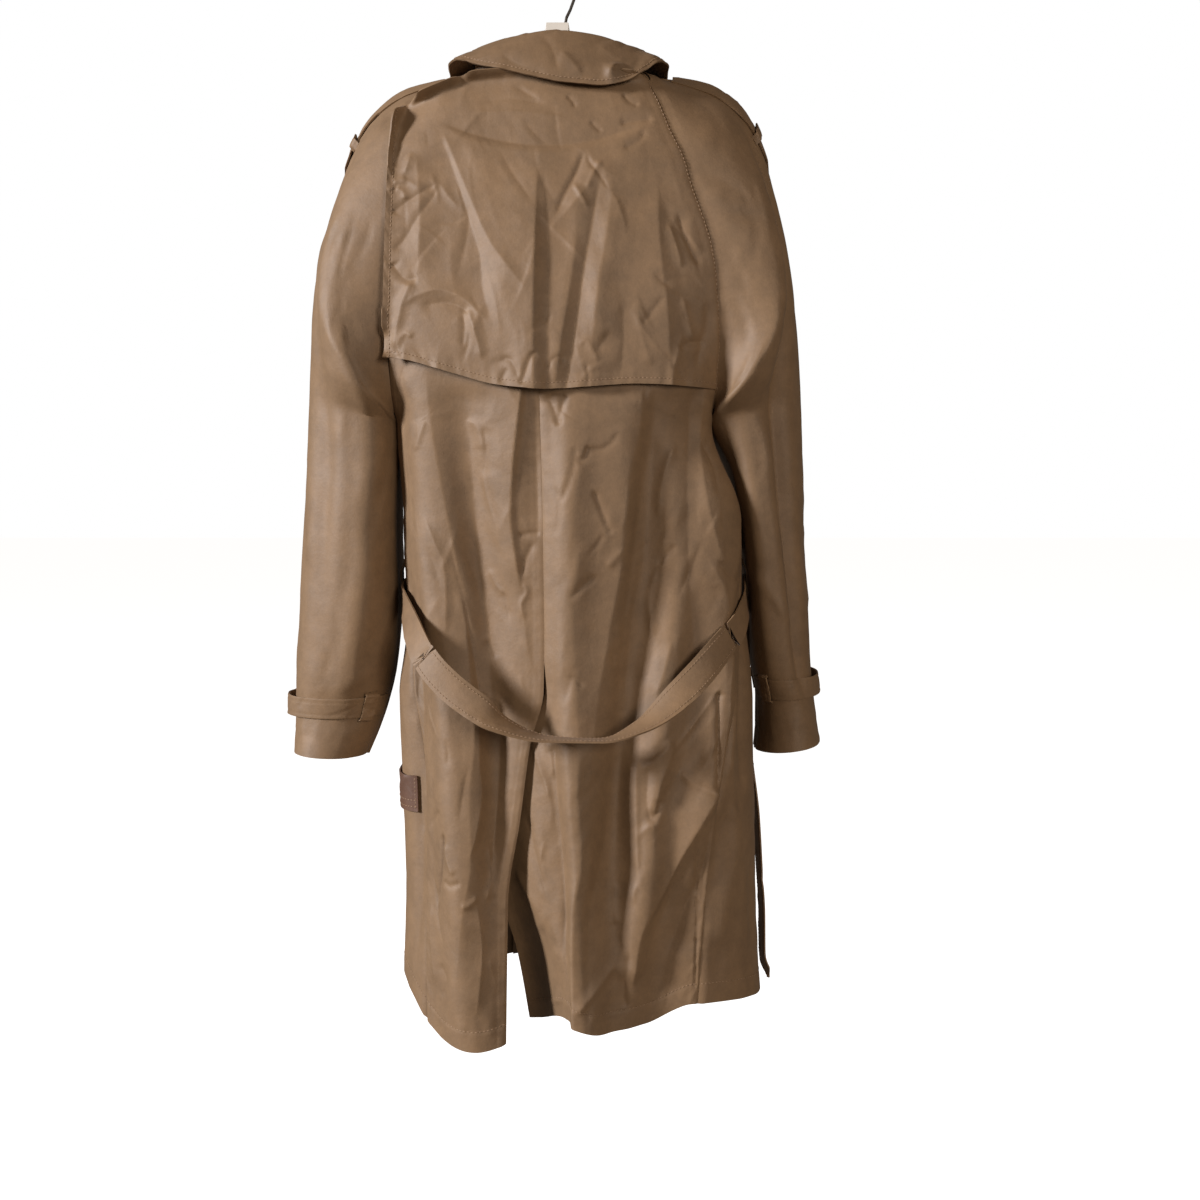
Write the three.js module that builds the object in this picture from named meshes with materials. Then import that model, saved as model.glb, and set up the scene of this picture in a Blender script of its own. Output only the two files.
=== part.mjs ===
// A trench coat on a plain hanger, its back towards -Y, as it hangs from a rail.
// Millimetres. X runs to the wearer's right, Y towards the coat's front, Z up.
// The origin is the inside top of the hook's bend, where the rail carries it.
import * as THREE from "three";

// Driving sizes
const CLOTH = 1.5; // one layer with its facing or turned edge
const DOUBLE = 2; // two layers sewn together: cape, collar, straps
const SEAM = 0.3; // gap between neighbouring pieces
const UNDERARM_GAP = 1.6; // four pieces meet here
const UNDERARM_Z = -505;
const HEM_REF = -1150;
const NECK_Z = -143;
const NECK_FRONT_DROP = 55;
const FRONT_OVERLAP = 60; // how far each front passes the centre
const OVERLAP_LIFT = 3.4; // outer front stands this far off the inner one
const UNDERARM_ROW = 8; // place down the sleeve where its underarm seam starts
const CUFF_ROW = 14;
const TOP_STEPS = 12; // rows of points from neck to underarm
const LOW_STEPS = 18; // rows of points from underarm to hem
const ARM_STEPS = 15; // rows of points from underarm to cuff
const NECK_ROWS = 5; // rows of points over which the neckline's dip and its spread die away
const NECK_DIP_REACH = 1.7; // the dip is full after 1 / 1.7 of a front's width
const NECK_SPREAD_REACH = 4;
const OVERLAP_START = 40; // the outer front starts to stand off this far before the inner one's edge
const OVERLAP_BLEND = 34;
const REAR_BLEND = 0.5; // how far past the sides the folds of the back reach
const BODY_FLAT = { back: 0.6, front: 1 }; // 1 is half an ellipse, less hangs flatter across
const SEAM_DROP = 0.3; // share of a sleeve's drop that its cloth has made near the body's seam
const FOLD_FADE = 25; // folds of the sleeves die out over 1 / 25 of the way round from a seam
const SAME_PLACE = 0.02; // points this close on two pieces are one point of their seam
const STEEP = 0.25; // least share of a face that counts as facing one way
const TINY = 1e-9;
const RAD = Math.PI / 180;

// The body all round, by height: middle, half width and half depths.
const BODY = {
  z: [-143, -165, -207, -251, -300, -339, -400, -464, -505, -600, -700, -800, -900, -1000, -1150],
  midX: [0, -1, -2, -3, -4, -4, -5, -5, -5, 14, 16, 17, 19, 22, 24],
  wide: [92, 150, 205, 228, 226, 218, 205, 182, 166, 178, 180, 190, 190, 191, 194],
  back: [50, 61, 71, 81, 90, 96, 103, 107, 108, 108, 106, 110, 114, 118, 122],
  front: [50, 59, 67, 76, 84, 89, 96, 102, 104, 100, 98, 102, 106, 110, 114],
};

// Raglan seam from neck to underarm, then side seam to the hem, in degrees from centre back.
const SIDE_SEAM = {
  z: [-143, -165, -207, -251, -296, -339, -378, -418, -464, -490, -505, -600, -700, -850, -1000, -1150],
  left: [66, 39.5, 34, 36, 41.5, 48, 52.5, 58, 67, 78, 90, 86, 76, 62, 58, 56],
  right: [66, 39.5, 34, 36, 41.5, 48, 52.5, 58, 67, 78, 90, 84, 72, 52, 43, 37],
};

// Centre back seam, then the edge of the vent on the left panel.
const CENTRE_SEAM = {
  z: [-143, -471, -700, -773, -834, -912, -995, -1150],
  x: [-18, -18, -16, -17, -31, -41, -51, -51],
};

// Right panel at the vent: how far its edge passes under the left one (or falls short, below 0),
// how deep it is turned in, and over what width.
const VENT = {
  z: [-745, -775, -810, -850, -912, -995, -1060, -1150],
  under: [0, -1, 4, 14, 20, 10, -6, -20],
  depth: [0, 4, 7, 11, 22, 36, 50, 66],
  width: [30, 34, 38, 40, 44, 48, 52, 58],
};

// Hem height by angle from centre back, wearer's left below 0.
const HEM = {
  deg: [-180, -120, -95, -70, -45, -32, -20, -10, 5, 18, 35, 60, 90, 120, 180],
  z: [-1122, -1116, -1088, -1102, -1138, -1142, -1134, -1112, -1124, -1122, -1102, -1106, -1114, -1118,
    -1122],
};

// Folds of the body, on the back (face 1) or the front (face -1): the line each follows,
// how far it stands out (in, below 0) and its half width.
const BODY_FOLDS = [
  { face: 1, z: [-430, -560, -700, -800, -900, -1150], x: [-150, -142, -130, -114, -106, -84],
    rise: [0, 8, 12, 15, 18, 24], half: [18, 18, 20, 22, 26, 34] },
  { face: 1, z: [-640, -760, -880, -980, -1080], x: [-160, -152, -150, -150, -152],
    rise: [0, -9, -14, -10, 0], half: [14, 14, 14, 14, 14] },
  { face: 1, z: [-440, -520, -650, -800, -950], x: [-110, -98, -80, -66, -60],
    rise: [0, -8, -11, -9, 0], half: [20, 22, 22, 20, 18] },
  { face: 1, z: [-430, -560, -700, -850, -1000, -1150], x: [8, 8, 8, 12, 20, 24],
    rise: [0, 8, 11, 14, 18, 24], half: [20, 22, 26, 28, 30, 36] },
  { face: 1, z: [-470, -560, -660, -780, -880, -1060], x: [88, 94, 94, 76, 60, 56],
    rise: [0, -8, -9, -10, -11, -4], half: [18, 18, 18, 16, 15, 15] },
  { face: 1, z: [-600, -780, -900, -1000, -1140], x: [134, 112, 96, 90, 84],
    rise: [0, 7, 8, 6, 0], half: [16, 16, 16, 16, 16] },
  { face: 1, z: [-720, -820, -900, -1000], x: [178, 176, 150, 120],
    rise: [0, 8, 8, 0], half: [18, 20, 22, 20] },
  { face: 1, z: [-900, -1000, -1150], x: [130, 112, 100],
    rise: [0, -8, -12], half: [18, 20, 26] },
  { face: -1, z: [-520, -700, -900, -1150], x: [-146, -140, -132, -126],
    rise: [0, 6, 10, 16], half: [22, 22, 26, 30] },
  { face: -1, z: [-420, -700, -900, -1150], x: [-106, -100, -92, -86],
    rise: [0, -7, -10, -12], half: [18, 18, 20, 24] },
  { face: -1, z: [-520, -700, -900, -1150], x: [152, 150, 146, 140],
    rise: [0, 6, 10, 14], half: [20, 20, 24, 28] },
  { face: -1, z: [-420, -700, -900, -1150], x: [112, 108, 106, 102],
    rise: [0, -7, -11, -14], half: [18, 18, 20, 24] },
  { face: -1, z: [-700, -850, -1150], x: [10, 8, 4],
    rise: [0, 5, 14], half: [26, 32, 44] },
];

// Raglan sleeves, by place from neck (0) over the underarm (8) to the cuff (14). top is the outer
// seam, inner the underarm seam. leave is how the cloth leaves the body's seam (0 sideways,
// 90 straight back), and the two arms say how far it bulges at either end.
const ROW = [0, 1, 2, 3, 4, 5, 6, 7, 8, 9, 10, 11, 12, 13, 14];
const SEAM_HEIGHT = {
  row: [0, 1, 2, 3, 4, 5, 6, 7, 8],
  z: [-143, -170, -212, -262, -318, -378, -434, -482, -505],
};
const SLEEVE_DIP = { row: ROW, deg: [0, 32, 38, 36, 28, 16, 8, 2, 0, 0, 0, 0, 0, 0, 0] };
const SLEEVES = {
  left: {
    row: ROW,
    topX: [-86, -122, -159, -196, -218, -235, -249, -260, -266, -271, -276, -281, -286, -288, -291],
    topY: [0, 0, 0, 0, 0, 0, 2, 4, 5, 6, 7, 8, 8, 8, 8],
    topZ: [-142, -147, -157, -185, -223, -275, -330, -400, -480, -560, -630, -700, -765, -815, -855],
    leave: [0, -4, -6, -4, 0, 10, 30, 68, 98, 106, 106, 100, 94, 90, 90],
    seamArm: [4, 12, 26, 42, 58, 70, 80, 88, 92, 92, 90, 86, 78, 66, 70],
    topArm: [7, 24, 34, 42, 50, 60, 72, 84, 92, 92, 90, 86, 78, 66, 70],
  },
  right: {
    row: ROW,
    topX: [86, 122, 156, 190, 211, 227, 240, 251, 258, 262, 265, 270, 274, 280, 286],
    topY: [0, 0, 0, 0, 0, 2, 6, 12, 18, 22, 26, 30, 34, 36, 36],
    topZ: [-142, -145, -152, -175, -212, -268, -330, -400, -480, -560, -630, -700, -765, -810, -848],
    leave: [0, -4, -6, -4, 0, 10, 30, 70, 104, 112, 106, 100, 96, 92, 90],
    seamArm: [4, 12, 26, 42, 58, 70, 82, 92, 98, 100, 100, 96, 90, 82, 86],
    topArm: [7, 24, 34, 42, 50, 60, 74, 88, 98, 100, 100, 96, 90, 82, 86],
  },
};
const UNDERARM_SEAM = {
  row: [8, 9, 10, 11, 12, 12.7, 13.4, 14],
  z: [-505, -560, -630, -700, -765, -800, -832, -860],
  left: { x: [-171, -176, -178, -177, -181, -189, -200, -212], y: [0, 2, 4, 6, 8, 8, 8, 8] },
  right: { x: [161, 194, 204, 208, 214, 219, 219, 217], y: [0, 10, 18, 26, 32, 34, 36, 36] },
};

// Folds down the sleeves: place down and around (0 back seam, 0.5 outer seam, 1 front seam).
const SLEEVE_ROUND = 360; // cloth around the sleeve, for the folds' widths
const SLEEVE_FOLDS = {
  left: [
    { row: [3.5, 6, 9, 12], around: [0.38, 0.36, 0.34, 0.33], rise: [0, -5, -6, 0], half: [14, 14, 14, 14] },
    { row: [7, 9, 11, 13], around: [0.18, 0.19, 0.2, 0.22], rise: [0, 6, 6, 0], half: [14, 14, 14, 14] },
    { row: [5, 8, 11, 14], around: [0.72, 0.72, 0.74, 0.74], rise: [0, -7, -6, -3], half: [16, 16, 16, 16] },
  ],
  right: [
    { row: [3, 5, 8, 11, 13], around: [0.36, 0.35, 0.33, 0.33, 0.34], rise: [0, -11, -14, -12, 0],
      half: [13, 13, 13, 13, 13] },
    { row: [8, 9.5, 11, 12.5], around: [0.19, 0.19, 0.18, 0.18], rise: [0, 6, 5, 0], half: [13, 13, 13, 13] },
    { row: [5, 8, 11, 14], around: [0.72, 0.72, 0.74, 0.74], rise: [0, -8, -7, -3], half: [16, 16, 16, 16] },
  ],
};

// Cape (storm flap): free left edge, top and lower edges, and how far it stands off the back.
const CAPE_LEFT = { z: [-160, -204, -278, -378, -440], x: [-150, -165, -171, -174, -175] };
const CAPE_TOP = { x: [-160, -128, -100, -80, 0, 80, 90], z: [-182, -168, -158, -153, -150, -153, -157] };
const CAPE_HEM = {
  x: [-178, -154, -105, -56, -16, 23, 82, 142, 165],
  z: [-437, -441, -455, -468, -472, -470, -466, -468, -470],
};
const CAPE_LIFT = { z: [-150, -200, -300, -400, -472], left: [5, 6, 9, 12, 13], middle: [5, 6, 7, 8, 8] };
const CAPE_FREE = 0.35; // share of its width over which the free edge settles down
const CAPE_SEAM = { lift: 4.2, from: 0.82 }; // its right edge lies closer, from this share of the width
const CAPE_SMOOTHING = 6; // passes that lift its hollows towards their neighbours
const CAPE_FOLDS = [
  { z: [-200, -300, -471], x: [-22, -22, -22], rise: [0, 4, 5], half: [12, 12, 12] },
  { z: [-230, -320, -415, -471], x: [50, 45, 32, 24], rise: [0, 5, 5, 3], half: [14, 14, 14, 14] },
  { z: [-200, -330, -410, -471], x: [-118, -66, -40, -34], rise: [0, 5, 4, 0], half: [26, 24, 20, 16] },
];

// Collar, from centre back (0) to its front end (1): height and lean of the stand, then how far
// the turned-down part reaches out from the neck seam and down from the fold, on either side.
const COLLAR = {
  part: [0, 0.2, 0.4, 0.52, 0.66, 0.83, 1],
  stand: [36, 32, 25, 21, 18, 18, 20],
  lean: [2, 2, 1, 1, 2, 3, 4],
  left: { out: [26, 25, 24, 27, 28, 28, 28], down: [58, 44, 26, 13, 15, 34, 52] },
  right: { out: [26, 26, 25, 28, 28, 28, 28], down: [58, 57, 40, 14, 12, 32, 52] },
};
const COLLAR_END_X = 66;
const COLLAR_FOLD = 4.5; // radius of the fold over the stand
const COLLAR_BOW = 3; // how far its turned-down part bows out
const COLLAR_CLEAR = 8; // how far it stands off what lies under it

// Belt from its left end in front, through both loops and across the back to its right end.
// tilt turns it from flat against the body (0) to lying level (90).
const BELT = {
  x: [-124, -128, -138, -156, -165, -165.6, -165, -150, -132, -107, -77, -57, -10, 43, 83, 123, 160, 189,
    197.5, 197, 199, 201, 206, 216, 220, 223, 224, 232],
  y: [88, 86, 84, 64, 30, 2, -30, -84, -117, -131, -140, -143, -145, -144, -139, -125, -98, -60, -28,
    2, 26, 44, 36, 26, 22, 22, 22, 22],
  z: [-985, -900, -790, -715, -690, -682, -686, -710, -741, -766, -787, -800, -815, -817, -804, -774, -740,
    -708, -688, -678, -688, -740, -850, -933, -996, -1040, -1088, -1120],
  tilt: [0, 0, 0, 10, 4, 0, 0, 14, 24, 34, 50, 62, 84, 84, 66, 40, 26, 12, 4,
    0, 10, 10, 0, 0, 0, 0, 0, 20],
};
const BELT_WIDE = 30;
const BELT_POINT = 16; // length of its pointed ends
const BELT_TIP = 0.12; // share of its width at the very ends
const BELT_STEPS = 84;
const BELT_SLOPE_REACH = 0.3; // table rows either side that give its direction
const BELT_ROW_LENGTH = 32; // about how long a table row is at its ends
const BELT_AXIS_X = 15; // upright line that its flat side faces away from
const BELT_LOOP = { at: 91, high: -646, low: -714, half: 4.5, stand: 7.8, steps: 8, rise: 1.6, round: 105 };

// Small pieces
const CLOSE = 2.7; // outer face of a doubled piece that lies on another
const EPAULETTE = {
  from: 0.9,
  shoulder: 4,
  to: 4.5,
  half: 20,
  steps: 9,
  tip: [0.62, 0.14], // shares of its width along the pointed end
  above: 1.3,
  seated: -0.8,
};
const EPAULETTE_LOOP = { row: 3.6, half: 28, span: 0.11, above: 3.4, end: 5 };
const EPAULETTE_SHIFT = { left: 12, right: 0 };
const CUFF_STRAP = {
  left: 12.75,
  right: 12.4,
  span: 0.24,
  from: 0.05,
  to: 0.93,
  off: 0.5,
  bulge: 7, // stands off the outer seam, this far and over this share of the way round
  bulgeSpan: 0.12,
  steps: 24,
};
const CUFF_LOOP = {
  at: 0.13,
  half: 0.025,
  down: [-0.34, -0.29, -0.14, 0, 0.14, 0.29, 0.34],
  stand: [-1, 3.4, 3.4, 3.4, 3.4, 3.4, -1],
};
const POCKET = {
  top: -872,
  low: -910,
  from: { left: 66, right: 92 },
  span: 46,
  lift: 4, // its open edge stands off this far
  rest: { left: CLOSE, right: 3 },
  rows: 3,
  columns: 8,
};
const LAPEL = {
  topIn: -206,
  topOut: -232,
  tip: -350,
  innerX: 14,
  wide: 90,
  point: 8,
  lift: 3,
  reach: 12, // it clears the front this far to either side
  rows: 7,
  columns: 4,
};
const BUTTON = {
  radius: 12,
  thick: 4,
  round: 1,
  rim: 2.4,
  slope: 1,
  well: 1.2,
  columns: [-50, 42],
  rows: [-420, -520, -620],
  sides: 16,
  seats: 8, // places round its edge where it may touch the front
};
const HOOK = {
  wire: 1.6,
  radius: 21.6,
  centreZ: -20,
  from: 205,
  to: -25,
  turn: 11.5,
  foot: [[20, -36], [18, -56], [12, -72], [8, -80], [7, -85.2]],
};
const HANGER = {
  blockX: [-60, -36, -16, -13, 0, 10, 13, 36, 60],
  blockZ: [-152, -137, -118, -112, -112, -112, -118, -137, -152],
  blockTall: [9, 10, 14, 26, 26, 26, 14, 10, 9],
  blockDeep: [5, 6, 7, 9, 9, 9, 7, 6, 5],
  armTall: [9, 9, 9, 9, 8, 5],
  armDeep: [5, 5, 5, 5, 5, 4],
  under: 3.6, // below the shoulder's ridge: wall, slope of the cloth and a small gap
};

// Curves and tables

const v3 = (x, y, z) => new THREE.Vector3(x, y, z);
const mix = (a, b, t) => a + (b - a) * t;
const smooth = (t) => {
  const s = Math.min(1, Math.max(0, t));
  return s * s * (3 - 2 * s);
};
const sideName = (side) => (side < 0 ? "left" : "right");

// Cubic through a table's rows without overshoot, level beyond its ends.
function curve(knots, values, at) {
  const last = knots.length - 1;
  const sign = knots[last] > knots[0] ? 1 : -1;
  if (sign * (at - knots[0]) <= 0) return values[0];
  if (sign * (at - knots[last]) >= 0) return values[last];
  let i = 0;
  while (sign * (at - knots[i + 1]) > 0) i++;
  const chord = (k) => (values[k + 1] - values[k]) / (knots[k + 1] - knots[k]);
  const slope = (k) => {
    if (k === 0) return chord(0);
    if (k === last) return chord(last - 1);
    const product = chord(k - 1) * chord(k);
    return product <= 0 ? 0 : (2 * product) / (chord(k - 1) + chord(k));
  };
  const span = knots[i + 1] - knots[i];
  const t = (at - knots[i]) / span;
  const rise = values[i + 1] - values[i];
  const first = slope(i) * span;
  const final = slope(i + 1) * span;
  return values[i] + t * (first + t * (3 * rise - 2 * first - final + t * (first + final - 2 * rise)));
}
const read = (table, column, at, key = "z") => curve(table[key], table[column], at);

// How far a set of folds lifts the cloth at one place.
function foldLift(folds, along, across, key = "z", place = "x", scale = 1) {
  let lift = 0;
  for (const fold of folds) {
    const off = ((across - read(fold, place, along, key)) * scale) / read(fold, "half", along, key);
    lift += read(fold, "rise", along, key) * Math.exp(-off * off);
  }
  return lift;
}

// The body

// Outer face at an angle from centre back (wearer's right above 0) and a height.
function bodyPoint(deg, z, lift = 0) {
  const a = deg * RAD;
  const wide = read(BODY, "wide", z);
  const face = Math.cos(a) >= 0 ? "back" : "front";
  const depth = read(BODY, face, z);
  const flat = BODY_FLAT[face];
  const [facing, reach] = [Math.sign(Math.cos(a)), Math.abs(Math.cos(a))];
  const base = v3(read(BODY, "midX", z) + wide * Math.sin(a), -facing * depth * reach ** flat, z);
  const out = v3(Math.sin(a) / wide, (-facing * reach ** (2 - flat)) / (flat * depth), 0).normalize();
  const rearShare = smooth(Math.cos(a) + REAR_BLEND);
  const rear = foldLift(BODY_FOLDS.filter((fold) => fold.face > 0), z, base.x);
  const fore = foldLift(BODY_FOLDS.filter((fold) => fold.face < 0), z, base.x);
  return base.addScaledVector(out, lift + rear * rearShare + fore * (1 - rearShare));
}

// Angle from centre back at x: on the back, or on the front as reached from one side.
function backAngle(x, z) {
  return Math.asin((x - read(BODY, "midX", z)) / read(BODY, "wide", z)) / RAD;
}
const frontAngle = (side, x, z) => side * 180 - backAngle(x, z);
const sideSeam = (side, z) => side * read(SIDE_SEAM, sideName(side), z);
const frontSeam = (side, z) => (z > UNDERARM_Z ? side * 180 - sideSeam(side, z) : sideSeam(side, z));
const seamHeight = (row) => read(SEAM_HEIGHT, "z", row, "row");
const centreX = (z) => read(CENTRE_SEAM, "x", z);

function hemHeight(deg) {
  const wrapped = deg > 180 ? deg - 360 : deg < -180 ? deg + 360 : deg;
  return read(HEM, "z", wrapped, "deg");
}

function rowHeight(step, hem) {
  if (step <= TOP_STEPS) return seamHeight((UNDERARM_ROW * step) / TOP_STEPS);
  return mix(UNDERARM_Z, hem, (step - TOP_STEPS) / LOW_STEPS);
}

// Half of the back, from the centre seam (u 0) to the raglan and side seams (u 1).
function backPoint(side, step, u) {
  const centre = (z) => backAngle(centreX(z) - (side > 0 ? read(VENT, "under", z) : 0), z);
  const hem = hemHeight(mix(backAngle(centreX(HEM_REF), HEM_REF), sideSeam(side, HEM_REF), u));
  const z = rowHeight(step, hem);
  const point = bodyPoint(mix(centre(z), sideSeam(side, z), u), z);
  if (side > 0) {
    const reach = (point.x - bodyPoint(centre(z), z).x) / read(VENT, "width", z);
    point.y += read(VENT, "depth", z) * (1 - smooth(reach));
  }
  return point;
}

// One front, from the raglan and side seams (u 0) past the centre to its free edge (u 1).
function frontPoint(side, step, u) {
  const edgeX = -side * FRONT_OVERLAP;
  const hem = hemHeight(mix(sideSeam(side, HEM_REF), frontAngle(side, edgeX, HEM_REF), u));
  const neckShare = smooth(1 - step / NECK_ROWS);
  const z = rowHeight(step, hem) - NECK_FRONT_DROP * smooth(u * NECK_DIP_REACH) * neckShare;
  const plain = mix(frontSeam(side, z), frontAngle(side, edgeX, z), u);
  const neckX = mix(bodyPoint(frontSeam(side, NECK_Z), NECK_Z).x, edgeX, u);
  const spread = neckShare * Math.min(1, u * NECK_SPREAD_REACH);
  const point = bodyPoint(mix(plain, frontAngle(side, neckX, z), spread), z);
  if (side < 0 && point.y > 0) {
    point.y += OVERLAP_LIFT * smooth((point.x + FRONT_OVERLAP + OVERLAP_START) / OVERLAP_BLEND);
  }
  return point;
}

// The sleeves

function sleeveBase(side, row, v) {
  const table = SLEEVES[sideName(side)];
  const facing = v <= 0.5 ? -1 : 1;
  const t = v <= 0.5 ? v * 2 : (1 - v) * 2;
  const top = v3(...["topX", "topY", "topZ"].map((column) => read(table, column, row, "row")));
  let seam;
  if (row <= UNDERARM_ROW) {
    const z = seamHeight(row);
    seam = bodyPoint(facing < 0 ? sideSeam(side, z) : frontSeam(side, z + TINY), z);
  } else {
    const inner = UNDERARM_SEAM[sideName(side)];
    seam = v3(curve(UNDERARM_SEAM.row, inner.x, row), curve(UNDERARM_SEAM.row, inner.y, row),
      read(UNDERARM_SEAM, "z", row, "row"));
  }
  const leave = read(table, "leave", row, "row") * RAD;
  const dip = read(SLEEVE_DIP, "deg", row, "row") * RAD;
  const seamArm = read(table, "seamArm", row, "row");
  const topArm = read(table, "topArm", row, "row");
  const nearSeam = seam.clone().add(
    v3(side * Math.cos(leave) * seamArm, facing * Math.sin(leave) * seamArm, (top.z - seam.z) * SEAM_DROP));
  const nearTop = top.clone().add(v3(0, facing * Math.cos(dip) * topArm, -Math.sin(dip) * topArm));
  return new THREE.CubicBezierCurve3(seam, nearSeam, nearTop, top).getPoint(t);
}

function sleeveNormal(side, row, v) {
  const dv = 0.004;
  const dr = 0.02;
  const half = v <= 0.5 ? [0, 0.5] : [0.5, 1];
  const across = sleeveBase(side, row, Math.min(v + dv, half[1]));
  across.sub(sleeveBase(side, row, Math.max(v - dv, half[0])));
  const down = sleeveBase(side, Math.min(row + dr, CUFF_ROW), v);
  down.sub(sleeveBase(side, Math.max(row - dr, 0), v));
  return across.cross(down).multiplyScalar(-side).normalize();
}

// Point above a sleeve, lifted the way both halves face together near the outer seam.
function overSleeve(side, row, v, lift) {
  const reach = 0.05;
  const leastSpread = 0.6;
  const low = sleeveNormal(side, row, Math.max(v - reach, 0));
  const high = sleeveNormal(side, row, Math.min(v + reach, 1));
  const mean = low.add(high).divideScalar(2);
  const spread = Math.max(leastSpread, mean.length());
  return sleevePoint(side, row, v).addScaledVector(mean.normalize(), lift / spread);
}

// Outer face of a sleeve: row down it, v around it from the back seam over the outer seam.
function sleevePoint(side, row, v, lift = 0) {
  const fold = foldLift(SLEEVE_FOLDS[sideName(side)], row, v, "row", "around", SLEEVE_ROUND);
  const edge = smooth(Math.min(v, 1 - v, Math.abs(v - 0.5)) * FOLD_FADE);
  return sleeveBase(side, row, v).addScaledVector(sleeveNormal(side, row, v), lift + fold * edge);
}

const sleeveRow = (step) =>
  step <= TOP_STEPS
    ? (UNDERARM_ROW * step) / TOP_STEPS
    : mix(UNDERARM_ROW, CUFF_ROW, (step - TOP_STEPS) / ARM_STEPS);

// Sheets of cloth

// A grid of points on a piece's outer face, with normals that point away from its wall.
function makeSheet(rows, columns, at, outwards, family = "") {
  const points = [];
  for (let i = 0; i <= rows; i++) {
    points.push([]);
    for (let j = 0; j <= columns; j++) points[i].push(at(i, j / columns));
  }
  const sheet = { rows, columns, points, family };
  const midRow = Math.floor(rows / 2);
  const midColumn = Math.floor(columns / 2);
  sheet.sign = 1;
  const raw = rawNormal(sheet, midRow, midColumn);
  sheet.sign = raw.dot(outwards(points[midRow][midColumn])) >= 0 ? 1 : -1;
  sheet.normals = points.map((line, i) => line.map((_, j) => rawNormal(sheet, i, j)));
  sheet.drops = sheet.normals.map((line) => line.map((normal) => normal.clone()));
  return sheet;
}

function rawNormal(sheet, i, j) {
  const { points, rows, columns, sign } = sheet;
  const down = points[Math.min(i + 1, rows)][j].clone().sub(points[Math.max(i - 1, 0)][j]);
  const along = points[i][Math.min(j + 1, columns)].clone().sub(points[i][Math.max(j - 1, 0)]);
  return down.cross(along).multiplyScalar(sign).normalize();
}

const keyOf = (point, family) =>
  [point.x, point.y, point.z].map((n) => Math.round(n / SAME_PLACE)).join() + family;

// Sheets that share a seam get one wall direction there and draw back half the gap each.
function sewTogether(sheets) {
  const leastLength = 0.5;
  const shared = new Map();
  const edges = (sheet, visit) => {
    for (let i = 0; i <= sheet.rows; i++) for (const j of [0, sheet.columns]) visit(i, j);
  };
  for (const sheet of sheets) {
    edges(sheet, (i, j) => {
      const key = keyOf(sheet.points[i][j], i === TOP_STEPS ? sheet.family : "");
      const entry = shared.get(key) ?? { sum: v3(0, 0, 0), count: 0 };
      entry.sum.add(sheet.normals[i][j]);
      entry.count += 1;
      shared.set(key, entry);
    });
  }
  for (const sheet of sheets) {
    const moved = [];
    edges(sheet, (i, j) => {
      const corner = i === TOP_STEPS && (sheet.underarm ?? []).includes(j);
      const key = keyOf(sheet.points[i][j], i === TOP_STEPS ? sheet.family : "");
      const entry = shared.get(key);
      const mean = entry.sum.clone().divideScalar(entry.count);
      const length = Math.max(leastLength, mean.length());
      const drop = mean.clone().normalize().divideScalar(length);
      const next = sheet.points[Math.min(i + 1, sheet.rows)][j];
      const previous = sheet.points[Math.max(i - 1, 0)][j];
      const inward = sheet.points[i][j === 0 ? 1 : sheet.columns - 1].clone().sub(sheet.points[i][j]);
      const draw = mean.clone().cross(next.clone().sub(previous)).normalize();
      if (draw.dot(inward) < 0) draw.negate();
      moved.push({ i, j, drop, shift: draw.multiplyScalar((corner ? UNDERARM_GAP : SEAM) / 2) });
    });
    for (const { i, j, drop, shift } of moved) {
      sheet.points[i][j].add(shift);
      sheet.drops[i][j] = drop;
    }
  }
}

// The closed solid between a sheet and its inner face.
function solidOf(sheet, wall) {
  const { rows, columns, points, drops, sign } = sheet;
  const wide = columns + 1;
  const layer = (rows + 1) * wide;
  const positions = [];
  for (const depth of [0, wall]) {
    for (let i = 0; i <= rows; i++) {
      for (let j = 0; j <= columns; j++) {
        const place = points[i][j].clone().addScaledVector(drops[i][j], -depth);
        positions.push(place.x, place.y, place.z);
      }
    }
  }
  const faces = [];
  const quad = (a, b, c, d) => {
    if (sign > 0) faces.push(a, b, c, a, c, d);
    else faces.push(a, c, b, a, d, c);
  };
  const at = (i, j, inner) => i * wide + j + (inner ? layer : 0);
  for (let i = 0; i < rows; i++) {
    for (let j = 0; j < columns; j++) {
      quad(at(i, j, 0), at(i + 1, j, 0), at(i + 1, j + 1, 0), at(i, j + 1, 0));
      quad(at(i, j, 1), at(i, j + 1, 1), at(i + 1, j + 1, 1), at(i + 1, j, 1));
    }
  }
  for (let i = 0; i < rows; i++) {
    quad(at(i, 0, 0), at(i, 0, 1), at(i + 1, 0, 1), at(i + 1, 0, 0));
    quad(at(i, columns, 0), at(i + 1, columns, 0), at(i + 1, columns, 1), at(i, columns, 1));
  }
  for (let j = 0; j < columns; j++) {
    quad(at(0, j, 0), at(0, j + 1, 0), at(0, j + 1, 1), at(0, j, 1));
    quad(at(rows, j, 0), at(rows, j, 1), at(rows, j + 1, 1), at(rows, j + 1, 0));
  }
  const geometry = new THREE.BufferGeometry();
  geometry.setAttribute("position", new THREE.Float32BufferAttribute(positions, 3));
  geometry.setIndex(faces);
  geometry.computeVertexNormals();
  return geometry;
}

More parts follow.
